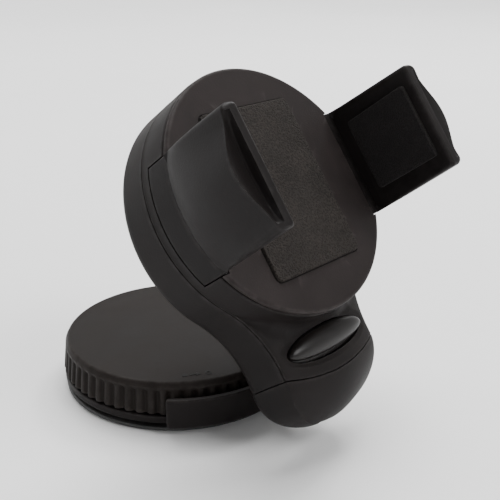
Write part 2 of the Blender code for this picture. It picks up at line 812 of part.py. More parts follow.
# ------------------------------------------------------------------ the jaws
def rack_outline():
    """The right jaw's rack in plan, teeth towards the pinion."""
    pitch = math.pi * MODULE
    half = pitch / 4 - BACKLASH / 4
    slope = math.tan(math.radians(20))
    tip_y = -(PITCH_R - ADDENDUM)
    root_y = -(PITCH_R + DEDENDUM)
    tops = []
    count = 9
    first = -RACK_TIP + 1.6
    phase = rack_phase()
    k0 = math.ceil((first - phase) / pitch)
    x = k0 * pitch + phase
    while x < ROOT_IN - 2.2 and len(tops) < 40:
        wide = half + DEDENDUM * slope
        thin = half - ADDENDUM * slope
        tops += [(x - wide, root_y), (x - thin, tip_y), (x + thin, tip_y), (x + wide, root_y)]
        x += pitch
        count += 1
    line = [(-RACK_TIP, -RACK_BACK), (ROOT_IN, -RACK_BACK), (ROOT_IN, root_y)]
    line += tops[::-1] + [(-RACK_TIP, root_y)]
    return line


def rack_phase():
    """Shift that puts a rack gap opposite a pinion tooth."""
    return math.pi * MODULE / 2


def involute(base_r, radius):
    """Roll angle of an involute at a radius."""
    ratio = max(radius / base_r, 1.0)
    t = math.sqrt(ratio * ratio - 1.0)
    return t - math.atan(t)


def pinion_outline():
    """Involute pinion with one tooth pointing straight down."""
    base_r = PITCH_R * math.cos(math.radians(20))
    tip_r = PITCH_R + ADDENDUM
    root_r = PITCH_R - DEDENDUM
    half = math.pi / 2 / TEETH - BACKLASH / 4 / PITCH_R + involute(base_r, PITCH_R)
    points = []
    for i in range(TEETH):
        mid = -math.pi / 2 + math.tau * i / TEETH
        flank = []
        for r in (root_r, base_r, PITCH_R, tip_r):
            if r >= root_r:
                flank.append((r, half - involute(base_r, r)))
        for r, a in flank:
            points.append((r * math.cos(mid - a), r * math.sin(mid - a)))
        for r, a in reversed(flank):
            points.append((r * math.cos(mid + a), r * math.sin(mid + a)))
    return points


def jaw_section(height):
    """Plan of the upright part of the right jaw at a height over the face."""
    t = height / JAW_TALL
    half = JAW_HALF - 0.9 * t
    corner = JAW_IN + 1.1 + (TIP_EDGE - 1.1) * t
    middle = R + 0.3 + (JAW_IN + TIP_EDGE + TIP_BULGE - R - 0.3) * t
    points = [(JAW_IN, half), (JAW_IN, -half)]
    count = 14
    for i in range(count + 1):
        v = -1.0 + 2.0 * i / count
        round_shape = 1.0 - v * v
        ogee = 0.5 + 0.5 * math.cos(math.pi * v)
        shape = (1 - t) * round_shape + t * ogee
        points.append((corner + (middle - corner) * shape, v * half))
    return [(x, y, height) for x, y in points]


def jaw_cover_outline():
    """Plan of the part of the jaw that fills the gap in the band."""
    swing = math.degrees(math.asin(JAW_HALF / R))
    return [(JAW_LEDGE, JAW_HALF), (JAW_LEDGE, -JAW_HALF)] + arc(0, 0, R, -swing, swing, 12)


def scoop_outline():
    """Crescent finger hollow in the end of a jaw."""
    inner = JAW_IN + TIP_EDGE
    points = []
    count = 12
    reach = JAW_HALF - 0.9
    limit = math.acos(2 * 1.35 / TIP_BULGE - 1) / math.pi
    for i in range(count + 1):
        v = -limit + 2 * limit * i / count
        x = inner + TIP_BULGE * (0.5 + 0.5 * math.cos(math.pi * v)) - 1.2
        points.append((x, v * reach))
    points.append((inner - 0.1, limit * reach))
    points.append((inner - 0.1, -limit * reach))
    return points


def build_jaw(mats, name, side, tilt, at):
    """One jaw with its rack; the left one is the right one turned half round."""
    axis = empty(name + "_slide", tilt, at)
    spin = (0, 0, 0 if side > 0 else math.pi)
    upright = loft([jaw_section(JAW_TALL * i / 5) for i in range(6)])
    jaw = place(name, upright, axis, (0, 0, 0), spin, mat=mats["jaw"])
    soften(jaw, 0.7, 2, 50)
    join(jaw, prism(jaw_cover_outline(), COVER_LOW, 0.9 - 0.95), "cover")
    join(jaw, box(JAW_IN + 0.2, JAW_IN + 1.0, -JAW_HALF + 2, JAW_HALF - 2, -1.0, 1.5), "web")
    join(jaw, box(ROOT_IN - 0.5, JAW_LEDGE + 1.5, -JAW_HALF + 0.5, JAW_HALF - 0.5, SLIDE_LOW, SLIDE_TOP), "root")
    join(jaw, prism(rack_outline(), SLIDE_LOW + 0.01, SLIDE_TOP - 0.01), "rack")
    cut(jaw, prism(scoop_outline(), JAW_TALL - SCOOP_DEEP, JAW_TALL + 3), "scoop")
    recess = box(
        JAW_IN - 3, JAW_IN + GRIP_SINK, -GRIP_HALF - GAP, GRIP_HALF + GAP,
        GRIP_LOW - GAP, GRIP_HIGH + GAP,
    )
    cut(jaw, recess, "grip_recess")
    pad_bm = box(
        JAW_IN + GRIP_SINK - GRIP_T, JAW_IN + GRIP_SINK - GAP / 3, -GRIP_HALF, GRIP_HALF,
        GRIP_LOW, GRIP_HIGH,
    )
    pad = place(name + "_pad", pad_bm, axis, (0, 0, 0), spin, mat=mats["foam"])
    soften(pad, 0.4, 2, 60)
    return jaw


def build_pinion(mats, tilt, at):
    """The gear between the two racks."""
    axis = empty("pinion_axis", tilt, at)
    gear = prism(pinion_outline(), SLIDE_LOW, SLIDE_TOP)
    pinion = place("jaw_pinion", gear, axis, mat=mats["nylon"])
    join(pinion, rod(3.1, SLIDE_LOW - 2.4, SLIDE_LOW + 0.5, steps=20), "hub")
    cut(pinion, rod(2.1, -12, -2, steps=20), "bore")
    return pinion


# ----------------------------------------------------------------- the hinge
def build_hinge(mats, tilt):
    """Bolt, nut, washers; drawn along z and then turned onto x."""
    quarter = (0, math.pi / 2, 0)
    head = -LUG_OUT - GAP
    bolt = lathe(
        [
            (0, head - 2.4), (2.9, head - 2.4), (3.4, head - 1.9), (3.4, head), (BOLT_R, head),
            (BOLT_R, LUG_OUT + 3.4), (0, LUG_OUT + 3.4),
        ],
        20,
    )
    place("hinge_bolt", bolt, tilt, (0, 0, 0), quarter, mat=mats["steel"])
    hexagon = arc(0, 0, 3.4, 0, 300, 5)
    nut_bm = prism(hexagon, LUG_OUT + 1.15, LUG_OUT + 3.0)
    nut = place("hinge_nut", nut_bm, tilt, (0, 0, 0), quarter, mat=mats["steel"])
    cut(nut, rod(BOLT_R + 0.2, LUG_OUT, LUG_OUT + 5, steps=16), "thread")
    washers = (
        ("friction_washer_left", -KNUCKLE_HALF - 1.0, -KNUCKLE_HALF - GAP, 4.2, "nylon"),
        ("friction_washer_right", KNUCKLE_HALF + GAP, KNUCKLE_HALF + 1.0, 4.2, "nylon"),
        ("spring_washer", LUG_OUT + GAP, LUG_OUT + 0.9, 3.8, "steel"),
    )
    for name, low, high, radius, kind in washers:
        ring = lathe([(BOLT_R + GAP, low), (radius, low), (radius, high), (BOLT_R + GAP, high)], 20)
        place(name, ring, tilt, (0, 0, 0), quarter, mat=mats[kind])


def build_button(mats, tilt, at):
    """The oval tilt button with its two posts and return springs."""
    axis = empty("button_axis", tilt, (at[0], at[1] - BUTTON_DOWN, at[2]))
    top = COVER_TOP - 0.2
    rings = []
    levels = ((-2.9, 1.0), (-0.4, 1.0), (0.5, 0.93), (1.1, 0.76), (1.5, 0.5), (1.7, 0.2))
    for z, s in levels:
        rings.append([(x, y, top + z) for x, y in oval(BUTTON_A * s, BUTTON_B * s, 28)])
    button = place("tilt_button", loft(rings), axis, mat=mats["jaw"])
    back = back_at(-BUTTON_DOWN) + WALL
    for sx in (-1, 1):
        post = rod(1.1, back + 3.0, top - 2.0, sx * BUTTON_POST, 0, 12)
        join(button, post, "post_%d" % (sx + 1))
        name = "button_spring_left" if sx < 0 else "button_spring_right"
        coil = helix_tube(1.9, 0.25, back + 0.7, top - 2.6 - BUTTON_TRAVEL - 0.6, 3.5, 9, 4)
        moved(coil, sx * BUTTON_POST, -BUTTON_DOWN, 0)
        place(name, coil, tilt, at, mat=mats["steel"])
    return button


def main():
    """Build every part in place."""
    clear_scene()
    mats = {
        "shell": material("shell_plastic", (0.035, 0.031, 0.031), 0.45),
        "face": material("face_plastic", (0.04, 0.036, 0.037), 0.5),
        "dial": material("dial_plastic", (0.036, 0.031, 0.03), 0.5),
        "jaw": material("jaw_plastic", (0.034, 0.03, 0.03), 0.42),
        "foam": material("pad_foam", (0.033, 0.028, 0.023), 0.95),
        "rubber": material("cup_rubber", (0.02, 0.02, 0.02), 0.7),
        "nylon": material("white_nylon", (0.55, 0.54, 0.5), 0.5),
        "steel": material("plated_steel", (0.55, 0.55, 0.56), 0.3, 1.0),
    }
    build_base(mats)
    hy, hz = hinge_world()
    lean = math.radians(90.0 - FACE_TILT)
    tilt = empty("tilt_axis", None, (0, hy, hz), (lean, 0, 0))
    at = (0, HINGE_DOWN, HINGE_DEEP)
    build_shells(mats, tilt, at)
    build_chassis(mats, tilt, at)
    build_pinion(mats, tilt, at)
    build_jaw(mats, "right_jaw", 1, tilt, at)
    build_jaw(mats, "left_jaw", -1, tilt, at)
    build_hinge(mats, tilt)
    build_button(mats, tilt, at)


main()
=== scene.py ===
"""Phone holder for a car windscreen: the visible pieces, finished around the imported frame.

Lengths inside the classes are in millimetres.  The cradle's own frame has its
origin in the middle of the face, x across, y up the face and z out of it.
"""
import json
import logging
import math
from dataclasses import dataclass
from enum import Enum
from typing import Callable, Optional, Sequence

import bmesh
import bpy
import numpy as np
from mathutils import Matrix


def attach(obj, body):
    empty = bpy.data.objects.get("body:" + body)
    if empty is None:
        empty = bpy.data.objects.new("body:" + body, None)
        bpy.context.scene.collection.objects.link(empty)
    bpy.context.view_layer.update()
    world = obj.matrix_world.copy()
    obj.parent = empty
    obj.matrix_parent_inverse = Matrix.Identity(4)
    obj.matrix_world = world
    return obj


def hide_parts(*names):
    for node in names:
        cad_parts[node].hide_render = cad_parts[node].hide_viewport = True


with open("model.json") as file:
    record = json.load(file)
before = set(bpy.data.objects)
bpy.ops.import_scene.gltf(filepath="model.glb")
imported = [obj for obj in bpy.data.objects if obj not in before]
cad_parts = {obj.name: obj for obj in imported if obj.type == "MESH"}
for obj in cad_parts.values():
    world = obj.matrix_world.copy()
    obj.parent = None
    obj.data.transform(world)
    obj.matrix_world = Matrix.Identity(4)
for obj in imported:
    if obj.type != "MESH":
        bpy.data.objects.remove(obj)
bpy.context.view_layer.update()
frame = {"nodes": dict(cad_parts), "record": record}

LOG = logging.getLogger("phone_holder")
Array = np.ndarray
Colour = tuple[float, float, float]

R = 33.0            # radius of the round cradle
GAP = 0.3           # clearance between neighbouring parts


# ------------------------------------------------------------------ frames
@dataclass(frozen=True)
class Place:
    """Where a sub-assembly's own frame stands in the world."""

    origin: tuple[float, float, float] = (0.0, 0.0, 0.0)
    lean: float = 0.0

    def world(self, points: Array) -> Array:
        """Turn points about x by the lean, shift them and give metres.

        Args:
            points: (..., 3) millimetres in the own frame.
        Returns:
            (..., 3) metres in the world.
        """
        c, s = math.cos(self.lean), math.sin(self.lean)
        turn = np.array([[1.0, 0.0, 0.0], [0.0, c, -s], [0.0, s, c]])
        return (points @ turn.T + np.array(self.origin)) * 0.001


GROUND = Place()
HEAD = Place((0.0, -1.171 * R, 1.991 * R), math.radians(90.0 - 36.3))


# ------------------------------------------------------------------ outlines
def arc(cx: float, cy: float, radius: float, start: float, end: float, count: int) -> Array:
    """Points on a circle between two angles in degrees, both ends included.

    Returns:
        (count, 2) points.
    """
    a = np.radians(np.linspace(start, end, count))
    return np.stack([cx + radius * np.cos(a), cy + radius * np.sin(a)], -1)


def rounded(corners: Sequence[Sequence[float]], steps: int = 5, guard: float = 0.12) -> Array:
    """Round the corners of a closed polygon.

    Each corner is (x, y, radius).  It becomes a parabola tangent to both
    sides, with one guard point just outside each end to keep flats flat.

    Returns:
        (n, 2) points of the closed outline.
    """
    out: list[Array] = []
    total = len(corners)
    for i, (x, y, radius) in enumerate(corners):
        here = np.array([x, y])
        back = np.array(corners[i - 1][:2]) - here
        ahead = np.array(corners[(i + 1) % total][:2]) - here
        room_b, room_a = np.linalg.norm(back), np.linalg.norm(ahead)
        cut = min(radius, 0.46 * room_b, 0.46 * room_a)
        if cut <= 1e-6:
            out.append(here[None])
            continue
        back, ahead = back / room_b, ahead / room_a
        t = np.linspace(0, 1, steps + 1)[:, None]
        p0, p1 = here + back * cut, here + ahead * cut
        bend = (1 - t) ** 2 * p0 + 2 * t * (1 - t) * here + t ** 2 * p1
        lead = here + back * min(cut + guard, 0.48 * room_b)
        trail = here + ahead * min(cut + guard, 0.48 * room_a)
        out.append(np.vstack([lead[None], bend, trail[None]]))
    return np.vstack(out)


def oval(half_x: float, half_y: float, count: int = 96) -> Array:
    """Points of an ellipse."""
    a = np.linspace(0, math.tau, count, endpoint=False)
    return np.stack([half_x * np.cos(a), half_y * np.sin(a)], -1)


def finer(outline: Array, step: float) -> Array:
    """Put extra points on the long sides of a closed outline.

    Args:
        outline: (n, 2) points.
        step: longest side that is left whole.
    Returns:
        (m, 2) points on the same outline.
    """
    out = []
    for p, q in zip(outline, np.roll(outline, -1, 0)):
        n = max(1, int(math.ceil(np.linalg.norm(q - p) / step)))
        t = np.linspace(0, 1, n, endpoint=False)[:, None]
        out.append(p + (q - p) * t)
    return np.vstack(out)


def inward(outline: Array, offset: float) -> Array:
    """Move a closed anticlockwise outline inwards along its own normals."""
    tangent = np.roll(outline, -1, 0) - np.roll(outline, 1, 0)
    tangent /= np.maximum(np.linalg.norm(tangent, axis=1, keepdims=True), 1e-9)
    normal = np.stack([-tangent[:, 1], tangent[:, 0]], -1)
    return outline + offset * normal


# ------------------------------------------------------------------ meshes
def shade(mesh: bpy.types.Mesh, angle: float) -> None:
    """Smooth a mesh and keep the edges sharper than an angle in degrees."""
    mesh.polygons.foreach_set("use_smooth", np.ones(len(mesh.polygons), bool))
    mesh.set_sharp_from_angle(angle=math.radians(angle))
    mesh.update()


def mark_edges(mesh: bpy.types.Mesh) -> None:
    """Store how strongly the surface bends outwards in the attribute "edge".

    For every edge the two vertex normals are compared along the edge; the
    share by which they spread, over the edge length, is the bend.
    """
    count = len(mesh.vertices)
    co = np.empty(count * 3, np.float32)
    mesh.vertices.foreach_get("co", co)
    no = np.empty(count * 3, np.float32)
    mesh.vertex_normals.foreach_get("vector", no)
    ends = np.empty(len(mesh.edges) * 2, np.int32)
    mesh.edges.foreach_get("vertices", ends)
    co, no, ends = co.reshape(-1, 3), no.reshape(-1, 3), ends.reshape(-1, 2)
    along = co[ends[:, 1]] - co[ends[:, 0]]
    long = np.maximum(np.linalg.norm(along, axis=1), 1e-7)
    spread = np.einsum("ij,ij->i", no[ends[:, 1]] - no[ends[:, 0]], along) / long ** 2
    total = np.zeros(count)
    near = np.zeros(count)
    for k in (0, 1):
        np.add.at(total, ends[:, k], spread)
        np.add.at(near, ends[:, k], 1.0)
    bend = np.clip(total / np.maximum(near, 1.0) / 900.0, 0.0, 1.0)
    layer = mesh.attributes.new("edge", "FLOAT", "POINT")
    layer.data.foreach_set("value", bend.astype(np.float32))


class Piece:
    """One visible piece: a mesh object that rides on a body."""

    def __init__(self, name: str, verts: Array, faces: list[Sequence[int]]) -> None:
        """Make the object from world points and faces, with its faces outwards."""
        mesh = bpy.data.meshes.new(name)
        mesh.from_pydata(np.asarray(verts, float).reshape(-1, 3).tolist(), [], faces)
        mesh.validate()
        work = bmesh.new()
        work.from_mesh(mesh)
        bmesh.ops.recalc_face_normals(work, faces=work.faces)
        work.to_mesh(mesh)
        work.free()
        self.name = name
        self.obj = bpy.data.objects.new(name, mesh)
        bpy.context.scene.collection.objects.link(self.obj)

    def cut(self, tool: "Piece", mode: str = "DIFFERENCE") -> "Piece":
        """Take another piece away from this one, or join it on, and remove it."""
        mod = self.obj.modifiers.new("cut", "BOOLEAN")
        mod.operation = mode
        mod.solver = "EXACT"
        mod.object = tool.obj
        graph = bpy.context.evaluated_depsgraph_get()
        made = bpy.data.meshes.new_from_object(self.obj.evaluated_get(graph))
        old = self.obj.data
        self.obj.modifiers.clear()
        self.obj.data = made
        made.name = self.name
        bpy.data.meshes.remove(old)
        bpy.data.objects.remove(tool.obj)
        return self

    def finish(
        self,
        material: bpy.types.Material,
        body: str,
        slot: str,
        nodes: Sequence[str] = (),
        angle: float = 32.0,
    ) -> "Piece":
        """Shade and dress the piece, tie it to its body and hide the CAD nodes it stands for."""
        mesh = self.obj.data
        work = bmesh.new()
        work.from_mesh(mesh)
        bmesh.ops.remove_doubles(work, verts=work.verts, dist=1e-7)
        work.to_mesh(mesh)
        work.free()
        shade(mesh, angle)
        mark_edges(mesh)
        mesh.materials.clear()
        mesh.materials.append(material)
        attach(self.obj, body)
        if nodes:
            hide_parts(*nodes)
        LOG.info("%s: %d faces on %s", self.name, len(mesh.polygons), body)
        return self


def skin(
    name: str,
    grid: Array,
    place: Place,
    around: bool = True,
    loop: bool = False,
    start: str = "open",
    end: str = "open",
) -> Piece:
    """Make a piece from a grid of points.

    Args:
        grid: (rows, columns, 3) points in the place's frame.
        around: the last column joins the first.
        loop: the last row joins the first.
        start: how the first row is closed: "open", "flat" or "pole".
        end: the same for the last row.
    Returns:
        The piece.
    """
    rows, cols = grid.shape[:2]
    verts = grid.reshape(-1, 3)
    index = np.arange(rows * cols).reshape(rows, cols)
    right = np.roll(index, -1, 1) if around else index[:, 1:]
    left = index if around else index[:, :-1]
    quads = np.stack([left[:-1], right[:-1], right[1:], left[1:]], -1).reshape(-1, 4)
    if loop:
        last = np.stack([left[-1], right[-1], right[0], left[0]], -1).reshape(-1, 4)
        quads = np.vstack([quads, last])
    faces: list[Sequence[int]] = quads.tolist()
    extra = []
    for kind, row in ((start, 0), (end, rows - 1)):
        if kind == "flat":
            faces.append(index[row].tolist())
        if kind == "pole":
            centre = len(verts) + len(extra)
            extra.append(grid[row].mean(0))
            ring = index[row]
            nxt = np.roll(ring, -1)
            faces += [[int(a), int(b), centre] for a, b in zip(ring, nxt)]
    if extra:
        verts = np.vstack([verts, np.array(extra)])
    return Piece(name, place.world(verts), faces)


def revolve(
    name: str,
    profile: Array,
    place: Place = GROUND,
    steps: int = 192,
    ripple: Optional[Callable[[Array, Array, Array], Array]] = None,
) -> Piece:
    """Turn a closed profile about z: x = r cos a, y = r sin a, z = z.

    Args:
        profile: (n, 2) points (r, z) of a closed loop, or one from axis to axis.
        ripple: gives a change of radius from (radius, height, angle) grids.
    Returns:
        The piece, closed at the axis where the profile touches it.
    """
    a = np.linspace(0, math.tau, steps, endpoint=False)
    r = np.repeat(profile[:, :1], steps, 1)
    z = np.repeat(profile[:, 1:], steps, 1)
    angle = np.repeat(a[None], len(profile), 0)
    if ripple is not None:
        r = r + ripple(r, z, angle)
    grid = np.stack([r * np.cos(angle), r * np.sin(angle), z], -1)
    if profile[0, 0] < 1e-6 and profile[-1, 0] < 1e-6:
        return skin(name, grid[1:-1], place, start="pole", end="pole")
    return skin(name, grid, place, loop=True)


def slab(
    name: str,
    outline: Array,
    low: float,
    high: float,
    place: Place,
    edge: float = 0.25,
    swap: bool = False,
    low_edge: Optional[float] = None,
) -> Piece:
    """Carry an outline up z with a quarter-round on both rims.

    Args:
        outline: (n, 2) anticlockwise points.
        edge: radius of the rims.
        swap: read the outline as (y, z) and carry it along x.
        low_edge: radius of the lower rim if it differs.
    Returns:
        The piece.
    """
    low_edge = edge if low_edge is None else low_edge
    t = np.radians(np.linspace(0, 90, 5))
    rings = [(low_edge + 0.15, low)]
    rings += [(low_edge * (1 - math.sin(a)), low + low_edge * (1 - math.cos(a))) for a in t]
    rings += [(0.0, low + low_edge + 0.15), (0.0, high - edge - 0.15)]
    rings += [(edge * (1 - math.sin(a)), high - edge * (1 - math.cos(a))) for a in t[::-1]]
    rings += [(edge + 0.15, high)]
    grid = np.stack([np.column_stack([inward(outline, o), np.full(len(outline), z)]) for o, z in rings])
    if swap:
        grid = grid[..., [2, 0, 1]]
    return skin(name, grid, place, start="flat", end="flat")


def dome(name: str, outline: Array, low: float, top: float, rise: float, edge: float,
         place: Place, power: float = 2.0) -> Piece:
    """A closed pad: upright sides, a rounded rim and a crowned top.

    The top is rise * (1 - s ** power) over the rim, where s runs from 1 at
    the rim to 0 in the middle.

    Returns:
        The piece.
    """
    rings = [np.column_stack([inward(outline, 0.3), np.full(len(outline), low)])]
    for z in (low, low + 0.1, top - edge - 0.1):
        rings.append(np.column_stack([outline, np.full(len(outline), z)]))
    for a in np.radians(np.linspace(0, 90, 6)):
        ring = inward(outline, edge * (1 - math.cos(a)))
        rings.append(np.column_stack([ring, np.full(len(ring), top - edge * (1 - math.sin(a)))]))
    rim = inward(outline, edge)
    centre = rim.mean(0)
    for s in np.linspace(0.985, 0.04, 30):
        ring = centre + (rim - centre) * s
        z = top + rise * (1 - s ** power)
        rings.append(np.column_stack([ring, np.full(len(ring), z)]))
    return skin(name, np.stack(rings), place, start="flat", end="pole")


# ------------------------------------------------------------------ shader groups
class Wiring:
    """Small helper that adds and links nodes in one tree."""

    def __init__(self, tree: bpy.types.NodeTree) -> None:
        """Remember the tree."""
        self.tree = tree

    def add(self, kind: str, **settings: object) -> bpy.types.Node:
        """Add a node and set its properties."""
        node = self.tree.nodes.new(kind)
        for key, value in settings.items():
            setattr(node, key, value)
        return node

    def link(self, source: bpy.types.NodeSocket, target: bpy.types.NodeSocket) -> None:
        """Join an output to an input."""
        self.tree.links.new(source, target)

    def math(self, operation: str, a: object, b: object = 0.0, clamp: bool = False) -> bpy.types.NodeSocket:
        """Add a Math node fed by sockets or numbers and return its output."""
        node = self.add("ShaderNodeMath", operation=operation, use_clamp=clamp)
        for slot, value in zip(node.inputs, (a, b)):
            if isinstance(value, bpy.types.NodeSocket):
                self.link(value, slot)
            else:
                slot.default_value = value
        return node.outputs[0]

    def span(self, value: bpy.types.NodeSocket, low: float, high: float,
             to_low: float = 0.0, to_high: float = 1.0) -> bpy.types.NodeSocket:
        """Map a value from one range to another, clamped."""
        node = self.add("ShaderNodeMapRange", clamp=True)
        self.link(value, node.inputs["Value"])
        for key, number in (("From Min", low), ("From Max", high), ("To Min", to_low), ("To Max", to_high)):
            node.inputs[key].default_value = number
        return node.outputs["Result"]

    def noise(self, scale: float, detail: float = 2.0, roughness: float = 0.5) -> bpy.types.NodeSocket:
        """Noise on the object's own coordinates."""
        place = self.add("ShaderNodeTexCoord")
        node = self.add("ShaderNodeTexNoise")
        self.link(place.outputs["Object"], node.inputs["Vector"])
        node.inputs["Scale"].default_value = scale
        node.inputs["Detail"].default_value = detail
        node.inputs["Roughness"].default_value = roughness
        return node.outputs["Fac"]

    def cells(self, scale: float, feature: str = "F1") -> bpy.types.NodeSocket:
        """Cell pattern on the object's own coordinates."""
        place = self.add("ShaderNodeTexCoord")
        node = self.add("ShaderNodeTexVoronoi", feature=feature)
        self.link(place.outputs["Object"], node.inputs["Vector"])
        node.inputs["Scale"].default_value = scale
        return node.outputs["Distance"]

    def blend(self, factor: bpy.types.NodeSocket, a: object, b: object) -> bpy.types.NodeSocket:
        """Mix two colours, each a socket or a constant."""
        node = self.add("ShaderNodeMix", data_type="RGBA", clamp_factor=True)
        self.link(factor, node.inputs["Factor"])
        for slot, value in ((node.inputs[6], a), (node.inputs[7], b)):
            if isinstance(value, bpy.types.NodeSocket):
                self.link(value, slot)
            else:
                slot.default_value = value
        return node.outputs[2]


def new_group(name: str, numbers: dict[str, float], outputs: dict[str, str]) -> tuple[bpy.types.NodeTree, Wiring]:
    """Start a shader group with number inputs and the given outputs.

    Returns:
        The group and its wiring helper.
    """
    tree = bpy.data.node_groups.new(name, "ShaderNodeTree")
    for key, value in numbers.items():
        socket = tree.interface.new_socket(name=key, in_out="INPUT", socket_type="NodeSocketFloat")
        socket.default_value = value
    for key, kind in outputs.items():
        tree.interface.new_socket(name=key, in_out="OUTPUT", socket_type=kind)
    return tree, Wiring(tree)


def grain_group() -> bpy.types.NodeTree:
    """Spark-eroded mould grain: fine pits over a faint larger unevenness."""
    tree, w = new_group("mould_grain", {"Scale": 1800.0, "Unevenness": 90.0},
                        {"Height": "NodeSocketFloat", "Mottle": "NodeSocketFloat"})
    given = w.add("NodeGroupInput")
    given_scale = given.outputs["Scale"]
    place = w.add("ShaderNodeTexCoord")
    heights = []
    for factor, detail in ((1.0, 2.0), (2.7, 1.0)):
        node = w.add("ShaderNodeTexNoise")
        w.link(place.outputs["Object"], node.inputs["Vector"])
        w.link(w.math("MULTIPLY", given_scale, factor), node.inputs["Scale"])
        node.inputs["Detail"].default_value = detail
        heights.append(node.outputs["Fac"])
    mottle = w.add("ShaderNodeTexNoise")
    w.link(place.outputs["Object"], mottle.inputs["Vector"])
    w.link(given.outputs["Unevenness"], mottle.inputs["Scale"])
    mottle.inputs["Detail"].default_value = 4.0
    out = w.add("NodeGroupOutput")
    fine = w.math("MULTIPLY", heights[1], 0.5)
    w.link(w.math("ADD", heights[0], fine), out.inputs["Height"])
    w.link(mottle.outputs["Fac"], out.inputs["Mottle"])
    return tree


def wear_group() -> bpy.types.NodeTree:
    """Rubbed edges: the stored edge value broken up by noise."""
    tree, w = new_group("edge_wear", {"Amount": 0.5}, {"Mask": "NodeSocketFloat"})
    given = w.add("NodeGroupInput")
    edge = w.add("ShaderNodeAttribute", attribute_name="edge")
    broken = w.span(w.noise(420.0, 4.0, 0.65), 0.36, 0.62)
    rub = w.span(edge.outputs["Fac"], 0.08, 0.55)
    mask = w.math("MULTIPLY", w.math("MULTIPLY", rub, broken), given.outputs["Amount"], True)
    out = w.add("NodeGroupOutput")
    w.link(mask, out.inputs["Mask"])
    return tree


def dust_group() -> bpy.types.NodeTree:
    """Fine dust that gathers on faces that look up, in soft patches and specks."""
    tree, w = new_group("settled_dust", {"Amount": 0.3}, {"Mask": "NodeSocketFloat"})
    given = w.add("NodeGroupInput")
    where = w.add("ShaderNodeNewGeometry")
    split = w.add("ShaderNodeSeparateXYZ")
    w.link(where.outputs["Normal"], split.inputs[0])
    up = w.span(split.outputs["Z"], 0.1, 1.0)
    patches = w.span(w.noise(55.0, 5.0, 0.6), 0.35, 0.75)
    specks = w.span(w.cells(900.0), 0.16, 0.06)
    both = w.math("ADD", w.math("MULTIPLY", patches, 0.6), w.math("MULTIPLY", specks, 0.7))
    mask = w.math("MULTIPLY", w.math("MULTIPLY", up, both), given.outputs["Amount"], True)
    out = w.add("NodeGroupOutput")
    w.link(mask, out.inputs["Mask"])
    return tree


class Effects:
    """The shader groups that the finishes share, each made once."""

    def __init__(self) -> None:
        """Build the groups."""
        self.grain = grain_group()
        self.wear = wear_group()
        self.dust = dust_group()


def place_group(w: Wiring, tree: bpy.types.NodeTree, **numbers: float) -> bpy.types.Node:
    """Put a group into a material with its own values."""
    node = w.add("ShaderNodeGroup", node_tree=tree)
    for key, value in numbers.items():
        node.inputs[key].default_value = value
    return node


def start_material(name: str) -> tuple[bpy.types.Material, Wiring, bpy.types.Node]:
    """New node material with a Principled shader.

    Returns:
        The material, its wiring helper and the shader node.
    """
    material = bpy.data.materials.new(name)
    material.use_nodes = True
    shader = material.node_tree.nodes["Principled BSDF"]
    return material, Wiring(material.node_tree), shader


def rgba(colour: Colour) -> tuple[float, float, float, float]:
    """A colour with full alpha."""
    return (colour[0], colour[1], colour[2], 1.0)


# ------------------------------------------------------------------ finishes
@dataclass(frozen=True)
class MouldedPlastic:
    """Black injection-moulded plastic with a fine eroded grain."""

    name: str
    colour: Colour
    roughness: float = 0.46
    grain: float = 2200.0
    depth: float = 0.000035
    rub: float = 0.5
    dust: float = 0.22
    specular: float = 0.10
    dust_colour: Colour = (0.10, 0.088, 0.08)

    def make(self, fx: Effects) -> bpy.types.Material:
        """Build the material: mottle and dust in colour, grain in bump and gloss."""
        material, w, shader = start_material(self.name)
        grain = place_group(w, fx.grain, Scale=self.grain, Unevenness=70.0)
        wear = place_group(w, fx.wear, Amount=self.rub)
        dust = place_group(w, fx.dust, Amount=self.dust)
        light = tuple(c * 1.18 for c in self.colour)
        dark = tuple(c * 0.84 for c in self.colour)
        mottle = w.span(grain.outputs["Mottle"], 0.34, 0.66)
        base = w.blend(mottle, rgba(dark), rgba(light))
        rubbed = w.blend(wear.outputs["Mask"], base, rgba(tuple(c * 1.9 + 0.01 for c in self.colour)))
        w.link(w.blend(dust.outputs["Mask"], rubbed, rgba(self.dust_colour)), shader.inputs["Base Color"])
        gloss = w.span(grain.outputs["Mottle"], 0.3, 0.7, self.roughness - 0.05, self.roughness + 0.06)
        polished = w.math("SUBTRACT", gloss, w.math("MULTIPLY", wear.outputs["Mask"], 0.12))
        dusty = w.math("ADD", polished, w.math("MULTIPLY", dust.outputs["Mask"], 0.4), True)
        w.link(dusty, shader.inputs["Roughness"])
        bump = w.add("ShaderNodeBump")
        bump.inputs["Strength"].default_value = 1.0
        bump.inputs["Distance"].default_value = self.depth
        w.link(grain.outputs["Height"], bump.inputs["Height"])
        w.link(bump.outputs["Normal"], shader.inputs["Normal"])
        shader.inputs["Specular IOR Level"].default_value = self.specular
        return material


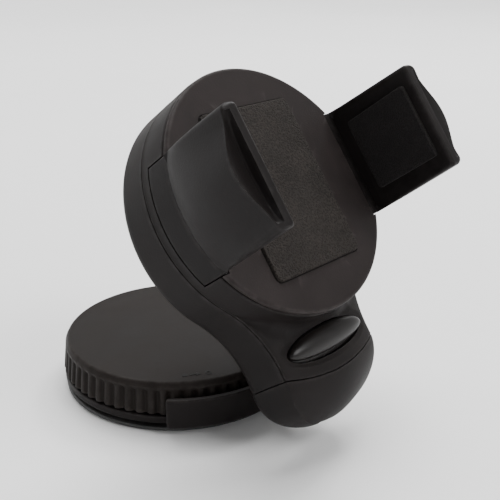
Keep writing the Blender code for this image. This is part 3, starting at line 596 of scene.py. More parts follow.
@dataclass(frozen=True)
class CellFoam:
    """Closed-cell sponge rubber: small open pores in a brown-black skin."""

    name: str = "sponge_rubber"
    skin_colour: Colour = (0.0145, 0.0113, 0.0095)
    pore_colour: Colour = (0.0055, 0.0042, 0.0036)
    pores: float = 1900.0

    def make(self, fx: Effects) -> bpy.types.Material:
        """Build the material from two sizes of pores and a soft mottle."""
        material, w, shader = start_material(self.name)
        grain = place_group(w, fx.grain, Scale=900.0, Unevenness=160.0)
        dust = place_group(w, fx.dust, Amount=0.12)
        big = w.span(w.cells(self.pores), 0.1, 0.7)
        small = w.span(w.cells(self.pores * 2.2), 0.1, 0.6)
        wall = w.math("MULTIPLY", big, w.math("ADD", w.math("MULTIPLY", small, 0.5), 0.5))
        mottle = w.span(grain.outputs["Mottle"], 0.3, 0.7)
        lit = w.blend(mottle, rgba(self.skin_colour), rgba(tuple(c * 1.5 for c in self.skin_colour)))
        colour = w.blend(wall, rgba(self.pore_colour), lit)
        w.link(w.blend(dust.outputs["Mask"], colour, (0.2, 0.18, 0.16, 1.0)), shader.inputs["Base Color"])
        w.link(w.span(wall, 0.0, 1.0, 1.0, 0.86), shader.inputs["Roughness"])
        bump = w.add("ShaderNodeBump")
        bump.inputs["Strength"].default_value = 1.0
        bump.inputs["Distance"].default_value = 0.00016
        height = w.math("ADD", wall, w.math("MULTIPLY", grain.outputs["Height"], 0.4))
        w.link(height, bump.inputs["Height"])
        w.link(bump.outputs["Normal"], shader.inputs["Normal"])
        shader.inputs["Specular IOR Level"].default_value = 0.25
        return material


@dataclass(frozen=True)
class SoftRubber:
    """Smooth black cup rubber with a faint bloom."""

    name: str = "cup_rubber_skin"
    colour: Colour = (0.006, 0.006, 0.006)

    def make(self, fx: Effects) -> bpy.types.Material:
        """Build the material: grey bloom in patches over black rubber."""
        material, w, shader = start_material(self.name)
        grain = place_group(w, fx.grain, Scale=1200.0, Unevenness=60.0)
        dust = place_group(w, fx.dust, Amount=0.3)
        bloom = w.span(grain.outputs["Mottle"], 0.4, 0.75)
        base = w.blend(bloom, rgba(self.colour), rgba(tuple(c * 2.2 for c in self.colour)))
        w.link(w.blend(dust.outputs["Mask"], base, (0.2, 0.19, 0.18, 1.0)), shader.inputs["Base Color"])
        w.link(w.span(grain.outputs["Mottle"], 0.3, 0.7, 0.38, 0.6), shader.inputs["Roughness"])
        bump = w.add("ShaderNodeBump")
        bump.inputs["Distance"].default_value = 0.00002
        w.link(grain.outputs["Height"], bump.inputs["Height"])
        w.link(bump.outputs["Normal"], shader.inputs["Normal"])
        return material


@dataclass(frozen=True)
class PlatedSteel:
    """Zinc-plated steel with fine drawing lines and slight staining."""

    name: str = "zinc_plate"
    colour: Colour = (0.33, 0.33, 0.34)

    def make(self, fx: Effects) -> bpy.types.Material:
        """Build the material: stains in colour and gloss, fine scratches in bump."""
        material, w, shader = start_material(self.name)
        grain = place_group(w, fx.grain, Scale=2600.0, Unevenness=240.0)
        wear = place_group(w, fx.wear, Amount=0.6)
        stain = w.span(grain.outputs["Mottle"], 0.4, 0.7)
        base = w.blend(stain, rgba(self.colour), (0.22, 0.215, 0.20, 1.0))
        w.link(w.blend(wear.outputs["Mask"], base, (0.5, 0.5, 0.51, 1.0)), shader.inputs["Base Color"])
        w.link(w.span(grain.outputs["Mottle"], 0.3, 0.7, 0.24, 0.42), shader.inputs["Roughness"])
        shader.inputs["Metallic"].default_value = 1.0
        bump = w.add("ShaderNodeBump")
        bump.inputs["Distance"].default_value = 0.00001
        w.link(grain.outputs["Height"], bump.inputs["Height"])
        w.link(bump.outputs["Normal"], shader.inputs["Normal"])
        return material


@dataclass(frozen=True)
class PlainNylon:
    """Natural nylon, slightly waxy and uneven in tone."""

    name: str = "natural_nylon"
    colour: Colour = (0.55, 0.53, 0.47)

    def make(self, fx: Effects) -> bpy.types.Material:
        """Build the material: faint tone changes and a waxy gloss."""
        material, w, shader = start_material(self.name)
        grain = place_group(w, fx.grain, Scale=1500.0, Unevenness=120.0)
        tone = w.span(grain.outputs["Mottle"], 0.3, 0.7)
        w.link(w.blend(tone, rgba(self.colour), (0.62, 0.60, 0.54, 1.0)), shader.inputs["Base Color"])
        w.link(w.span(grain.outputs["Mottle"], 0.3, 0.7, 0.4, 0.52), shader.inputs["Roughness"])
        bump = w.add("ShaderNodeBump")
        bump.inputs["Distance"].default_value = 0.00001
        w.link(grain.outputs["Height"], bump.inputs["Height"])
        w.link(bump.outputs["Normal"], shader.inputs["Normal"])
        return material


class Stuff(Enum):
    """The finishes by their slot names."""

    SHELL = "shell_plastic"
    FACE = "face_plastic"
    DIAL = "dial_plastic"
    JAW = "jaw_plastic"
    FOAM = "pad_foam"
    RUBBER = "cup_rubber"
    NYLON = "white_nylon"
    STEEL = "plated_steel"


class Finishes:
    """All materials of the holder, made once and found by kind."""

    def __init__(self) -> None:
        """Build every finish."""
        fx = Effects()
        recipes = {
            Stuff.SHELL: MouldedPlastic("shell_black", (0.0090, 0.0072, 0.0070), 0.52),
            # the face plastic is a lighter copy of the same black: painted light on the face that looks up to the
            # lamps
            Stuff.FACE: MouldedPlastic("face_black_painted_light", (0.0175, 0.0138, 0.0134), 0.58, dust=0.08),
            Stuff.DIAL: MouldedPlastic("dial_black", (0.0118, 0.0092, 0.0080), 0.56, dust=0.03),
            # the jaw plastic is a darker copy of the same black: painted shade on the jaw walls that face away from
            # the light
            Stuff.JAW: MouldedPlastic("jaw_black_painted_shade", (0.0072, 0.0058, 0.0057), 0.50, dust=0.06),
            Stuff.FOAM: CellFoam(),
            Stuff.RUBBER: SoftRubber(),
            Stuff.NYLON: PlainNylon(),
            Stuff.STEEL: PlatedSteel(),
        }
        self.of = {kind: recipe.make(fx) for kind, recipe in recipes.items()}
        self.button = MouldedPlastic(
            "button_gloss", (0.0085, 0.0070, 0.0066), 0.36, grain=1400.0, depth=0.000008,
            rub=0.1, dust=0.04, specular=0.25,
        ).make(fx)
        # the grip sponge is a darker copy of the face sponge: painted shade on the pads on the jaws' inner faces
        self.grip = CellFoam("grip_sponge_painted_shade", (0.0078, 0.0062, 0.0062), (0.0036, 0.0030, 0.0030), 2700.0).make(fx)
        self.mark = MouldedPlastic(
            "mark_ink", (0.0030, 0.0028, 0.0026), 0.38, grain=1800.0, depth=0.00001, rub=0.0, dust=0.05,
        ).make(fx)


# ------------------------------------------------------------------ the base
@dataclass
class SuctionBase:
    """Rubber cup, fixed housing ring, front shroud and hinge tongue."""

    cup_r: float = R + 0.8
    cup_t: float = 2.2
    deck_z: float = 2.5
    deck_t: float = 2.2
    deck_r: float = R + 1.0
    shroud_in: float = R + 1.9
    shroud_out: float = R + 3.6
    shroud_top: float = 10.9
    shroud_half: float = 49.0
    hub_r: float = 7.0
    foot_r: float = 8.9
    knuckle_r: float = 4.2
    knuckle_half: float = 4.9
    hinge_y: float = -53.673
    hinge_z: float = 17.371

    def cup(self, look: Finishes) -> None:
        """The cup: a thin disc whose lip swells at the rim, hollow in the middle."""
        profile = np.vstack([
            [[0.0, 0.0]],
            rounded([
                (0.4, 0.0, 0.0), (self.cup_r - 0.5, 0.0, 0.0), (self.cup_r, 0.35, 0.3),
                (self.cup_r - 0.25, 1.15, 0.3), (self.cup_r - 1.2, 1.45, 0.5), (self.cup_r - 2.6, self.cup_t, 0.6),
                (self.foot_r + 0.6, self.cup_t, 0.2), (self.foot_r + 0.6, 1.2, 0.1), (0.4, 1.2, 0.0),
            ]),
            [[0.0, 1.2]],
        ])
        revolve("suction_cup_rubber", profile).finish(look.of[Stuff.RUBBER], "base", "cup_rubber", ["suction_cup"])

    def deck(self, look: Finishes) -> None:
        """The fixed ring under the dial with its domed hub."""
        top = self.deck_z + self.deck_t
        profile = rounded([
            (4.3, top + 0.2, 0.0), (self.foot_r + GAP, top + 0.2, 0.0), (self.foot_r + GAP, self.deck_z, 0.2),
            (self.deck_r, self.deck_z, 0.5), (self.deck_r, top, 0.45), (self.foot_r + 1.9, top, 0.3),
            (self.foot_r + 1.9, 6.4, 0.2), (self.hub_r, 6.4, 0.2), (self.hub_r, 11.6, 0.3), (4.3, 11.6, 0.2),
        ])
        piece = revolve("base_ring", profile)
        slot = slab("slot", rounded([(-9, -1.2, 0), (9, -1.2, 0), (9, 1.2, 0), (-9, 1.2, 0)]), 6.8, 14, GROUND, 0.01)
        piece.cut(slot)
        piece.finish(look.of[Stuff.SHELL], "base", "shell_plastic", ["base_housing"])

    def shroud(self, look: Finishes) -> None:
        """The upright guard in front: a profile swept along an arc, ends tucked in."""
        low, top = self.deck_z, self.deck_z + self.deck_t
        profile = rounded([
            (self.deck_r - 0.3, low, 0.0), (self.shroud_out, low, 0.55), (self.shroud_out, self.shroud_top, 0.6),
            (self.shroud_in, self.shroud_top, 0.45), (self.shroud_in, top - 0.2, 0.3), (self.deck_r - 0.3, top - 0.2, 0.0),
        ], 6)
        half = math.radians(self.shroud_half)
        ends = np.array([0.0, 0.12, 0.3, 0.55, 0.9, 1.3]) / self.shroud_out
        a = np.concatenate([-half + ends, np.linspace(-half + 0.06, half - 0.06, 90), (half - ends)[::-1]])
        depth = np.minimum(a + half, half - a) * self.shroud_out
        tuck = 0.5 * (1 - np.sqrt(np.clip(1 - (1 - depth / 0.9) ** 2, 0, 1))) * (depth < 0.9)
        centre = profile.mean(0)
        away = profile - centre
        unit = away / np.maximum(np.abs(away).max(0), 1e-6)
        r = profile[None, :, 0] - tuck[:, None] * unit[None, :, 0] * 0.8
        z = profile[None, :, 1] - tuck[:, None] * unit[None, :, 1]
        swing = a[:, None] - math.pi / 2
        grid = np.stack([r * np.cos(swing), r * np.sin(swing), z], -1)
        piece = skin("base_shroud", grid, GROUND, start="flat", end="flat")
        piece.finish(look.of[Stuff.SHELL], "base", "shell_plastic", ["base_housing"])

    def tongue(self, look: Finishes) -> None:
        """The arm from the shroud to the knuckle round the tilt bolt."""
        y, z, r = self.hinge_y, self.hinge_z, self.knuckle_r
        root = -(self.shroud_in + 0.9)
        outline = np.vstack([
            [[root, self.deck_z + 0.6]], [[root, self.shroud_top - 0.7]],
            arc(y, z, r, 48, 236, 40),
        ])
        outline = finer(outline, 1.5)
        piece = slab("base_tongue", outline, -self.knuckle_half, self.knuckle_half, GROUND, 0.45, swap=True)
        bore = slab("bore", arc(y, z, 2.1, 0, 360, 49)[:-1], -9, 9, GROUND, 0.01, swap=True)
        piece.cut(bore)
        piece.finish(look.of[Stuff.SHELL], "base", "shell_plastic", ["base_housing"])

    def build(self, look: Finishes) -> None:
        """Make the whole base."""
        self.cup(look)
        self.deck(look)
        self.shroud(look)
        self.tongue(look)


@dataclass
class LockDial:
    """The ribbed twist dial with its three small marks."""

    top: float = 14.3
    low: float = 5.3
    top_r: float = R
    low_r: float = R + 1.2
    ribs: int = 64
    rib_depth: float = 0.85
    per_rib: int = 12
    mark_r: float = 0.885 * R

    def flutes(self, r: Array, z: Array, angle: Array) -> Array:
        """Change of radius: rounded flutes that fade under the rim and lie only outside."""
        wave = (0.5 - 0.5 * np.cos(self.ribs * angle)) ** 1.6
        fade = np.clip((self.top - 1.9 - z) / 0.8, 0.0, 1.0)
        fade = fade * fade * (3 - 2 * fade)
        outside = (r > self.top_r - 0.2) & (z < self.top - 0.8)
        return -self.rib_depth * wave * fade * outside

    def body(self, look: Finishes) -> None:
        """The dial: a hollow cap turned from one profile."""
        ceiling = self.top - 1.9
        inside = self.top_r - 2.0
        side = np.column_stack([
            np.linspace(self.top_r + 0.35, self.low_r, 16), np.linspace(self.top - 1.35, self.low + 0.3, 16),
        ])
        rim = rounded([(self.top_r - 6.0, self.top, 0.0), (self.top_r - 0.35, self.top, 1.5),
                       (self.top_r + 0.3, self.top - 1.3, 0.0)], 9)
        flat = np.column_stack([np.linspace(0.0, self.top_r - 6.0, 14)[:-1], np.full(13, self.top)])
        inner = rounded([
            (self.low_r - 0.15, self.low, 0.0), (inside, self.low, 0.2), (inside, ceiling, 0.8),
            (11.6, ceiling, 0.3), (11.6, 7.6, 0.3), (9.8, 7.6, 0.3), (9.8, ceiling, 0.3),
            (5.2, ceiling, 0.2), (5.2, ceiling + 0.9, 0.2), (1.0, ceiling + 0.9, 0.0),
        ])
        profile = np.vstack([flat, rim, side, inner, [[0.0, ceiling + 0.9]]])
        steps = self.ribs * self.per_rib
        piece = revolve("dial_cap", profile, steps=steps, ripple=self.flutes)
        piece.finish(look.of[Stuff.DIAL], "dial", "dial_plastic", ["lock_dial"], angle=50.0)

    def mark(self, name: str, outline: Array, degrees: float, look: Finishes) -> None:
        """One shallow raised mark near the rim, turned to its place."""
        a = math.radians(-90 + degrees)
        c, s = math.cos(a + math.pi / 2), math.sin(a + math.pi / 2)
        spun = outline @ np.array([[c, s], [-s, c]])
        placed = spun + self.mark_r * np.array([math.cos(a), math.sin(a)])
        piece = slab(name, placed, self.top - 0.15, self.top + 0.09, GROUND, 0.04)
        piece.finish(look.mark, "dial", "dial_plastic")

    def marks(self, look: Finishes) -> None:
        """A closed dot, a turning arrow and a ring, in place of printed signs."""
        self.mark("dial_mark_hold", oval(0.85, 0.85, 40), -40.5, look)
        tail = np.vstack([arc(0, -2.2, 2.7, 122, 72, 16), arc(0, -2.2, 2.05, 72, 122, 16)])
        tip = np.array([[1.9, 0.0]])
        head = np.vstack([tail[:16], [[0.72, 0.95]], tip, [[0.35, -0.75]], tail[16:]])[::-1]
        self.mark("dial_mark_turn", head, -35.5, look)
        outer = oval(0.95, 0.95, 40)
        a = math.radians(-90 - 28.0)
        centre = self.mark_r * np.array([math.cos(a), math.sin(a)])
        piece = slab("dial_mark_free", outer + centre, self.top - 0.15, self.top + 0.09, GROUND, 0.04)
        hole = slab("hole", oval(0.5, 0.5, 32) + centre, self.top - 1, self.top + 1, GROUND, 0.01)
        piece.cut(hole)
        piece.finish(look.mark, "dial", "dial_plastic")

    def build(self, look: Finishes) -> None:
        """Make the dial and its marks."""
        self.body(look)
        self.marks(look)


# ------------------------------------------------------------------ the cradle
@dataclass
class NeckShape:
    """The plan and section of the round cradle and its neck, used by all shells."""

    part_z: float = -0.33 * R
    back_z: float = -0.70 * R
    back_round: float = 3.0
    back_lean: float = 0.07
    neck_half: float = 0.52 * R
    fillet: float = 0.85 * R
    seam_r: float = 1.41 * R
    cap_end: float = 1.75 * R
    cover_top: float = -0.255 * R
    cover_edge: float = 0.5
    hinge_down: float = 1.45 * R
    hinge_deep: float = 0.50 * R

    @property
    def drop(self) -> float:
        """Distance down at which the hollow fillets meet the straight neck."""
        return math.sqrt((R + self.fillet) ** 2 - (self.neck_half + self.fillet) ** 2)

    def half(self, down: Array) -> Array:
        """Half width of the neck at a distance down from the face centre."""
        inside = np.clip(self.fillet ** 2 - (self.drop - down) ** 2, 0, None)
        curve = self.neck_half + self.fillet - np.sqrt(inside)
        disc = np.sqrt(np.clip(R ** 2 - down ** 2, 1.0, None))
        start = self.drop * R / (R + self.fillet)
        return np.where(down >= self.drop, self.neck_half, np.where(down <= start, disc, curve))

    def plan(self, offset: float, end_r: float) -> Array:
        """Anticlockwise plan of cradle and neck, shrunk by an offset."""
        radius, half, fillet = R - offset, self.neck_half - offset, self.fillet + offset
        drop = math.sqrt((radius + fillet) ** 2 - (half + fillet) ** 2)
        blend = math.degrees(math.atan2(drop, half + fillet))
        swing = math.degrees(math.asin(half / end_r))
        return np.vstack([
            arc(0, 0, radius, -blend, 180 + blend, 150),
            arc(-half - fillet, -drop, fillet, blend, 0, 26)[1:],
            arc(0, 0, end_r, 270 - swing, 270 + swing, 34),
            arc(half + fillet, -drop, fillet, 180, 180 - blend, 26)[:-1],
        ])

    def edge_distance(self, swing: Array) -> Array:
        """Distance from the centre to the plan's edge, by angle from straight down."""
        reach = R + self.fillet
        centre = math.asin((self.neck_half + self.fillet) / reach)
        tangent = np.abs(swing) >= centre
        off = centre - np.abs(swing)
        room = self.fillet ** 2 - (reach * np.sin(off)) ** 2
        hollow = reach * np.cos(off) - np.sqrt(np.clip(room, 0, None))
        hollow = np.where(room > 0, hollow, 1e3)
        straight = self.neck_half / np.maximum(np.abs(np.sin(swing)), 1e-6)
        straight = np.where(straight * np.cos(swing) > self.drop, straight, 1e3)
        seam = np.full_like(swing, self.seam_r - GAP / 2)
        return np.where(tangent, R, np.minimum(np.minimum(hollow, straight), seam))

    def back(self, y: Array) -> Array:
        """Level of the back at a height on the face."""
        return self.back_z + self.back_lean * y

    @staticmethod
    def crown(x: Array, half: Array, edge: Array, top: Array, power: Array) -> Array:
        """Crowned section: edge plus a share (1 - (x / half)^2) ^ power of the rise."""
        share = np.clip(1 - (x / half) ** 2, 0, 1)
        return edge + (top - edge) * share ** power


def fall(t: Array, power: float) -> Array:
    """Quarter of a superellipse: 0 at the start, 1 at the end, steep at the end."""
    return 1 - (1 - np.clip(t, 0, 1) ** power) ** (1 / power)


@dataclass
class Shells:
    """Rear cover, front body and face of the cradle."""

    shape: NeckShape
    wall: float = 2.2
    plate_t: float = 2.2
    plate_r: float = R - 0.15
    valley: float = 4.2
    jaw_half: float = 0.455 * R
    jaw_ledge: float = 0.85 * R
    cover_low: float = -0.24 * R
    slot_half: float = 5.8
    slot_deep: float = -18.4
    slot_up: float = 32.5
    screw_at: float = 17.3
    button_down: float = 1.17 * R
    button_a: float = 14.0
    button_b: float = 3.7
    foam_w: float = 0.95 * R
    foam_h: float = 1.33 * R

    def rear(self, look: Finishes) -> None:
        """The rear cover: plan rings from the rim over a round edge to the back, and back inside."""
        s = self.shape
        rim = s.part_z - GAP / 2
        rings: list[Array] = []

        def ring(offset: float, z: float, shrink: float = 1.0, inner: bool = False) -> None:
            plan = s.plan(offset, s.seam_r - GAP / 2 - (1.5 if inner else 0.0))
            plan = plan * shrink + np.array([0.0, -12.0]) * (1 - shrink)
            lean = s.back_lean * np.clip((rim - z) / (rim - s.back_z), 0, 1)
            rings.append(np.column_stack([plan, z + lean * plan[:, 1]]))

        ring(0.35, rim)
        ring(0.0, rim - 0.2)
        ring(0.0, rim - 0.4)
        for z in np.linspace(rim - 1.5, s.back_z + s.back_round + 0.3, 8):
            ring(0.0, z)
        for a in np.radians(np.linspace(0, 90, 9)):
            ring(s.back_round * (1 - math.cos(a)), s.back_z + s.back_round * (1 - math.sin(a)))
        for k in np.linspace(0.97, 0.03, 26):
            ring(s.back_round, s.back_z, k)
        outer_rows = len(rings)
        floor = s.back_z + self.wall
        for k in np.linspace(0.03, 0.97, 12):
            ring(self.wall + 0.8, floor, k, True)
        ring(self.wall + 0.6, floor, 1.0, True)
        ring(self.wall + 0.3, floor + 0.5, 1.0, True)
        ring(self.wall + 0.3, rim - 0.2, 1.0, True)
        ring(self.wall + 0.1, rim, 1.0, True)
        grid = np.stack(rings)
        outer, inner = grid[:outer_rows], grid[outer_rows:]
        piece = self.shell_of(outer, inner, "rear_cover")
        for sx in (-1, 1):
            for sy in (-1, 1):
                x, y = sx * self.screw_at, sy * self.screw_at
                back = float(s.back(np.array(y)))
                post = slab("post", oval(3.2, 3.2, 40) + [x, y], back + self.wall - 0.7, rim, HEAD, 0.05)
                piece.cut(post, "UNION")
                profile = rounded([(0.0, back - 3, 0), (2.95, back - 3, 0), (2.95, back + 1.7, 0.1),
                                   (1.5, back + 1.7, 0), (1.5, rim + 3, 0), (0.0, rim + 3, 0)])
                drill = revolve("drill", profile + [0.0, 0.0], HEAD, 40)
                drill.obj.data.transform(Matrix.Translation(HEAD.world(np.array([x, y, 0.0])) - HEAD.world(np.zeros(3))))
                piece.cut(drill)
        self.cut_slot(piece)
        door = rounded([(-12.8, -49, 0), (12.8, -49, 0), (12.8, -41.5, 0), (-12.8, -41.5, 0)])
        piece.cut(slab("door", door, floor + 0.4, rim + 2.0, HEAD, 0.01))
        piece.finish(look.of[Stuff.SHELL], "head", "shell_plastic", ["rear_shell"])

    @staticmethod
    def shell_of(outer: Array, inner: Array, name: str) -> Piece:
        """Join an outer skin that ends in a pole to an inner one that starts in a pole.

        Args:
            outer: rows from the rim to the middle of the back.
            inner: rows from the middle of the back to the rim.
        Returns:
            The closed shell.
        """
        n_out, cols = outer.shape[:2]
        grid = np.concatenate([inner, outer])
        rows = len(grid)
        index = np.arange(rows * cols).reshape(rows, cols)
        nxt = np.roll(index, -1, 1)
        quads = np.stack([index[:-1], nxt[:-1], nxt[1:], index[1:]], -1).reshape(-1, 4)
        verts = np.vstack([grid.reshape(-1, 3), inner[0].mean(0)[None], outer[-1].mean(0)[None]])
        faces = quads.tolist()
        for row, centre in ((0, rows * cols), (rows - 1, rows * cols + 1)):
            faces += [[int(a), int(b), centre] for a, b in zip(index[row], nxt[row])]
        return Piece(name, HEAD.world(verts), faces)

    def cut_slot(self, piece: Piece) -> None:
        """Open the slot that the tongue swings in."""
        w = self.slot_half
        outline = rounded([(-w, -72, 0), (w, -72, 0), (w, -self.slot_up, 1.5), (-w, -self.slot_up, 1.5)])
        piece.cut(slab("slot", outline, self.shape.back_z - 9, self.slot_deep, HEAD, 0.01))

    def front(self, look: Finishes) -> None:
        """The band and the neck cover as one surface.

        For each direction the profile runs from the inside of the rim over
        the band's top edge, down the wall, through a hollow blend onto the
        crowned neck, to the plan's edge, down to the seam and back inside.
        """
        s = self.shape
        top = -self.plate_t + 0.3
        low = s.part_z + GAP / 2
        inner = R - self.wall
        centre = math.asin((s.neck_half + s.fillet) / (R + s.fillet))
        near = np.sort(np.concatenate([
            np.linspace(-centre, centre, 161),
            [math.asin(s.neck_half / (s.seam_r - GAP / 2)) * k for k in (-1, 1)],
        ]))
        far = np.linspace(centre, math.tau - centre, 240)[1:-1]
        swing = np.concatenate([near, far])
        wrapped = (swing + math.pi) % math.tau - math.pi
        edge = np.maximum(s.edge_distance(wrapped), R + 0.03)
        size = np.clip(0.75 * (edge - R), 0.02, self.valley)

        def level(r: Array) -> Array:
            """Height of the crowned cover at a radius, dished round the button."""
            x, down = r * np.sin(wrapped), r * np.cos(wrapped)
            half = s.half(np.maximum(down, 0.1))
            flat = s.crown(x, half, s.part_z + s.cover_edge, s.cover_top, 0.7)
            q = np.hypot(x / (self.button_a * 1.16), (down - self.button_down + 0.4) / (self.button_b * 1.55))
            dish = 0.8 * np.clip(1 - q ** 4, 0, 1)
            return np.where(np.abs(wrapped) < centre, flat - dish * (down > 0), s.part_z + s.cover_edge)

        def row(r: Array, z: Array) -> Array:
            """One line of the grid all round."""
            return np.stack([r * np.sin(wrapped), -r * np.cos(wrapped), np.broadcast_to(z, r.shape)], -1)

        one = np.ones_like(edge)
        rows = [row(inner * one, one * top), row((R - 0.6) * one, one * top)]
        for a in np.radians(np.linspace(90, 0, 5)):
            rows.append(row((R - 0.3 + 0.3 * math.cos(a)) * one, one * (top - 0.3 + 0.3 * math.sin(a))))
        foot = level(R + size) + size
        for t in np.linspace(0.1, 1.0, 6):
            rows.append(row(R * one, (top - 0.3) * (1 - t) + foot * t))
        for a in np.radians(np.linspace(9, 90, 10)):
            r = R + size * (1 - math.cos(a))
            rows.append(row(r, level(R + size) + size * (1 - math.sin(a)) * one))
        for t in np.linspace(0.03, 1.0, 34):
            r = R + size + (edge - R - size - 0.02) * t
            rows.append(row(r, level(r)))
        rows.append(row(edge, one * (s.part_z + s.cover_edge - 0.1)))
        rows.append(row(edge, one * (low + 0.12)))
        rows.append(row(edge - 0.02, one * low))
        rows.append(row(inner * one + 0.01, one * low))
        grid = np.stack(rows)
        piece = skin("front_body", grid, HEAD, loop=True)
        gap = self.jaw_half + GAP
        for sx in (-1, 1):
            x0, x1 = sorted((sx * (R - 9.0), sx * (R + 9.0)))
            outline = rounded([(x0, -gap, 0), (x1, -gap, 0), (x1, gap, 0), (x0, gap, 0)])
            piece.cut(slab("gap", outline, self.cover_low - GAP, 6, HEAD, 0.01))
        hole = oval(self.button_a + GAP, self.button_b + GAP) - [0.0, self.button_down]
        piece.cut(slab("hole", hole, -30, 4, HEAD, 0.01))
        piece.finish(look.of[Stuff.SHELL], "head", "shell_plastic", ["front_shell"])

    def face(self, look: Finishes) -> None:
        """The face disc with the two jaw notches and the shallow foam recess."""
        t = self.plate_t
        profile = np.vstack([
            np.column_stack([np.linspace(0.0, self.plate_r - 2.0, 10), np.zeros(10)]),
            rounded([(self.plate_r - 1.9, 0.0, 0.0), (self.plate_r, 0.0, 0.75), (self.plate_r, -t + 0.6, 0.2),
                     (R - self.wall - GAP, -t + 0.6, 0.1), (R - self.wall - GAP, -t - 2.0, 0.2),
                     (R - self.wall - 3.0, -t - 2.0, 0.2), (R - self.wall - 3.0, -t, 0.1), (1.0, -t, 0)]),
            [[0.0, -t]],
        ])
        piece = revolve("face_disc", profile, HEAD, 288)
        gap = self.jaw_half + GAP
        for sx in (-1, 1):
            for x_in, z0, z1 in ((self.jaw_ledge - GAP, -8.0, 3.0), (22.0, -8.0, -t)):
                x0, x1 = sorted((sx * x_in, sx * (R + 4)))
                outline = rounded([(x0, -gap, 0), (x1, -gap, 0), (x1, gap, 0), (x0, gap, 0)])
                piece.cut(slab("notch", outline, z0, z1, HEAD, 0.01))
        w, h = self.foam_w / 2 + GAP, self.foam_h / 2 + GAP
        recess = rounded([(-w, -h, 2.4), (w, -h, 2.4), (w, h, 2.4), (-w, h, 2.4)], 8)
        piece.cut(slab("recess", recess, -0.8, 3, HEAD, 0.01))
        piece.finish(look.of[Stuff.FACE], "head", "face_plastic", ["face_plate"])

    def foam(self, look: Finishes) -> None:
        """The sponge pad on the face."""
        w, h = self.foam_w / 2, self.foam_h / 2
        outline = finer(rounded([(-w, -h, 2.1), (w, -h, 2.1), (w, h, 2.1), (-w, h, 2.1)], 8), 1.2)
        piece = dome("face_foam", outline, -0.7, 0.72, 0.1, 0.4, HEAD, 4.0)
        piece.finish(look.of[Stuff.FOAM], "head", "pad_foam", ["face_pad"])

    def build(self, look: Finishes) -> None:
        """Make the shells and the face."""
        self.rear(look)
        self.front(look)
        self.face(look)
        self.foam(look)


@dataclass
class HingeCap:
    """The rounded end of the neck that closes over the tilt hinge."""

    shape: NeckShape
    shells: Shells
    wall: float = 2.0

    def section(self, across: Array, down: Array, inset: float) -> Array:
        """Points of the closed cross-sections.

        Args:
            across: places round the section, from 0 to 1, starting at the back's middle.
            down: distances below the face centre, broadcast against across.
            inset: how far inside the outer skin.
        Returns:
            (..., 3) points: a flat back, rounded back corners, flat flanks
            and a crowned front that sinks towards the bottom.
        """
        s = self.shape
        end = s.cap_end - inset
        side = (down - 1.34 * R) / (end - 1.34 * R)
        t = np.clip((down - 1.31 * R) / (end - 1.31 * R), 0, 1)
        meet = -0.64 * R
        half = (s.neck_half - inset) * np.maximum(1 - fall(side, 2.2), 0.02)
        rear = s.back(-down) + inset
        back = rear + (meet - 0.4 - rear) * fall(side, 2.2)
        edge_0 = s.part_z + s.cover_edge - 0.7 * inset
        front_0 = s.cover_top - inset
        edge = edge_0 + (meet - edge_0) * fall(t, 1.5)
        front = front_0 + (meet + 0.4 - front_0) * fall(t, 2.2)
        corner = np.minimum(s.back_round - 0.5 * inset, np.minimum(0.45 * (edge - back), 0.45 * half))
        corner = np.maximum(corner, 0.01)
        a = np.abs(1 - 2 * across)
        sign = np.where(across < 0.5, 1.0, -1.0)
        u = 1 - a
        x = np.zeros(np.broadcast(across, down).shape)
        z = np.zeros_like(x)
        k = np.clip(u / 0.18, 0, 1)
        flat = u < 0.18
        x = np.where(flat, (half - corner) * k, x)
        z = np.where(flat, back, z)
        k = np.clip((u - 0.18) / 0.12, 0, 1)
        turn = (1 - k) * -math.pi / 2
        bend = (u >= 0.18) & (u < 0.30)
        x = np.where(bend, half - corner + corner * np.cos(turn), x)
        z = np.where(bend, back + corner + corner * np.sin(turn), z)
        k = np.clip((u - 0.30) / 0.14, 0, 1)
        flank = (u >= 0.30) & (u < 0.44)
        x = np.where(flank, half, x)
        z = np.where(flank, back + corner + (edge - back - corner) * k, z)
        k = np.clip((u - 0.44) / 0.56, 0, 1)
        rest = u >= 0.44
        x_c = half * np.cos(k * math.pi / 2)
        x = np.where(rest, x_c, x)
        z = np.where(rest, s.crown(x_c, half, edge, front, 0.7 + 0.5 * t), z)
        return np.stack([x * sign, np.broadcast_to(-down, x.shape), z], -1)

    def skin_rows(self, inset: float, rows: int, across: Array) -> Array:
        """Rows of sections from the seam arc down to the end."""
        s = self.shape
        seam = s.seam_r + GAP / 2
        level = self.section(across[None], np.full((1, 1), 1.32 * R), inset)[0]
        start = np.sqrt(seam ** 2 - level[:, 0] ** 2)
        end = s.cap_end - inset - 0.02
        g = 1 - (1 - np.linspace(0, 1, rows)) ** 1.9
        down = start[None] + (end - start[None]) * g[:, None]
        return self.section(across[None], down, inset)

    def build(self, look: Finishes) -> None:
        """Make the cap: outer and inner skins joined along the seam."""
        across = np.linspace(0, 1, 240, endpoint=False)
        outer = self.skin_rows(0.0, 60, across)
        inner = self.skin_rows(self.wall, 30, across)[::-1]
        piece = Shells.shell_of(outer, inner, "hinge_cover")
        self.shells.cut_slot(piece)
        piece.finish(look.of[Stuff.SHELL], "head", "shell_plastic", ["hinge_cap"])
        self.lip(look, across)

    def lip(self, look: Finishes, across: Array) -> None:
        """A thin tongue inside the walls that closes the view through the seam."""
        rows = []
        for inset, reach in ((0.9, -0.8), (0.9, 0.8), (1.5, 0.8), (1.5, -0.8)):
            radius = self.shape.seam_r + reach
            level = self.section(across[None], np.full((1, 1), 1.32 * R), inset)[0]
            down = np.sqrt(radius ** 2 - level[:, 0] ** 2)
            rows.append(self.section(across, down, inset))
        piece = skin("seam_lip", np.stack(rows), HEAD, loop=True)
        self.shells.cut_slot(piece)
        piece.finish(look.of[Stuff.SHELL], "head", "shell_plastic")


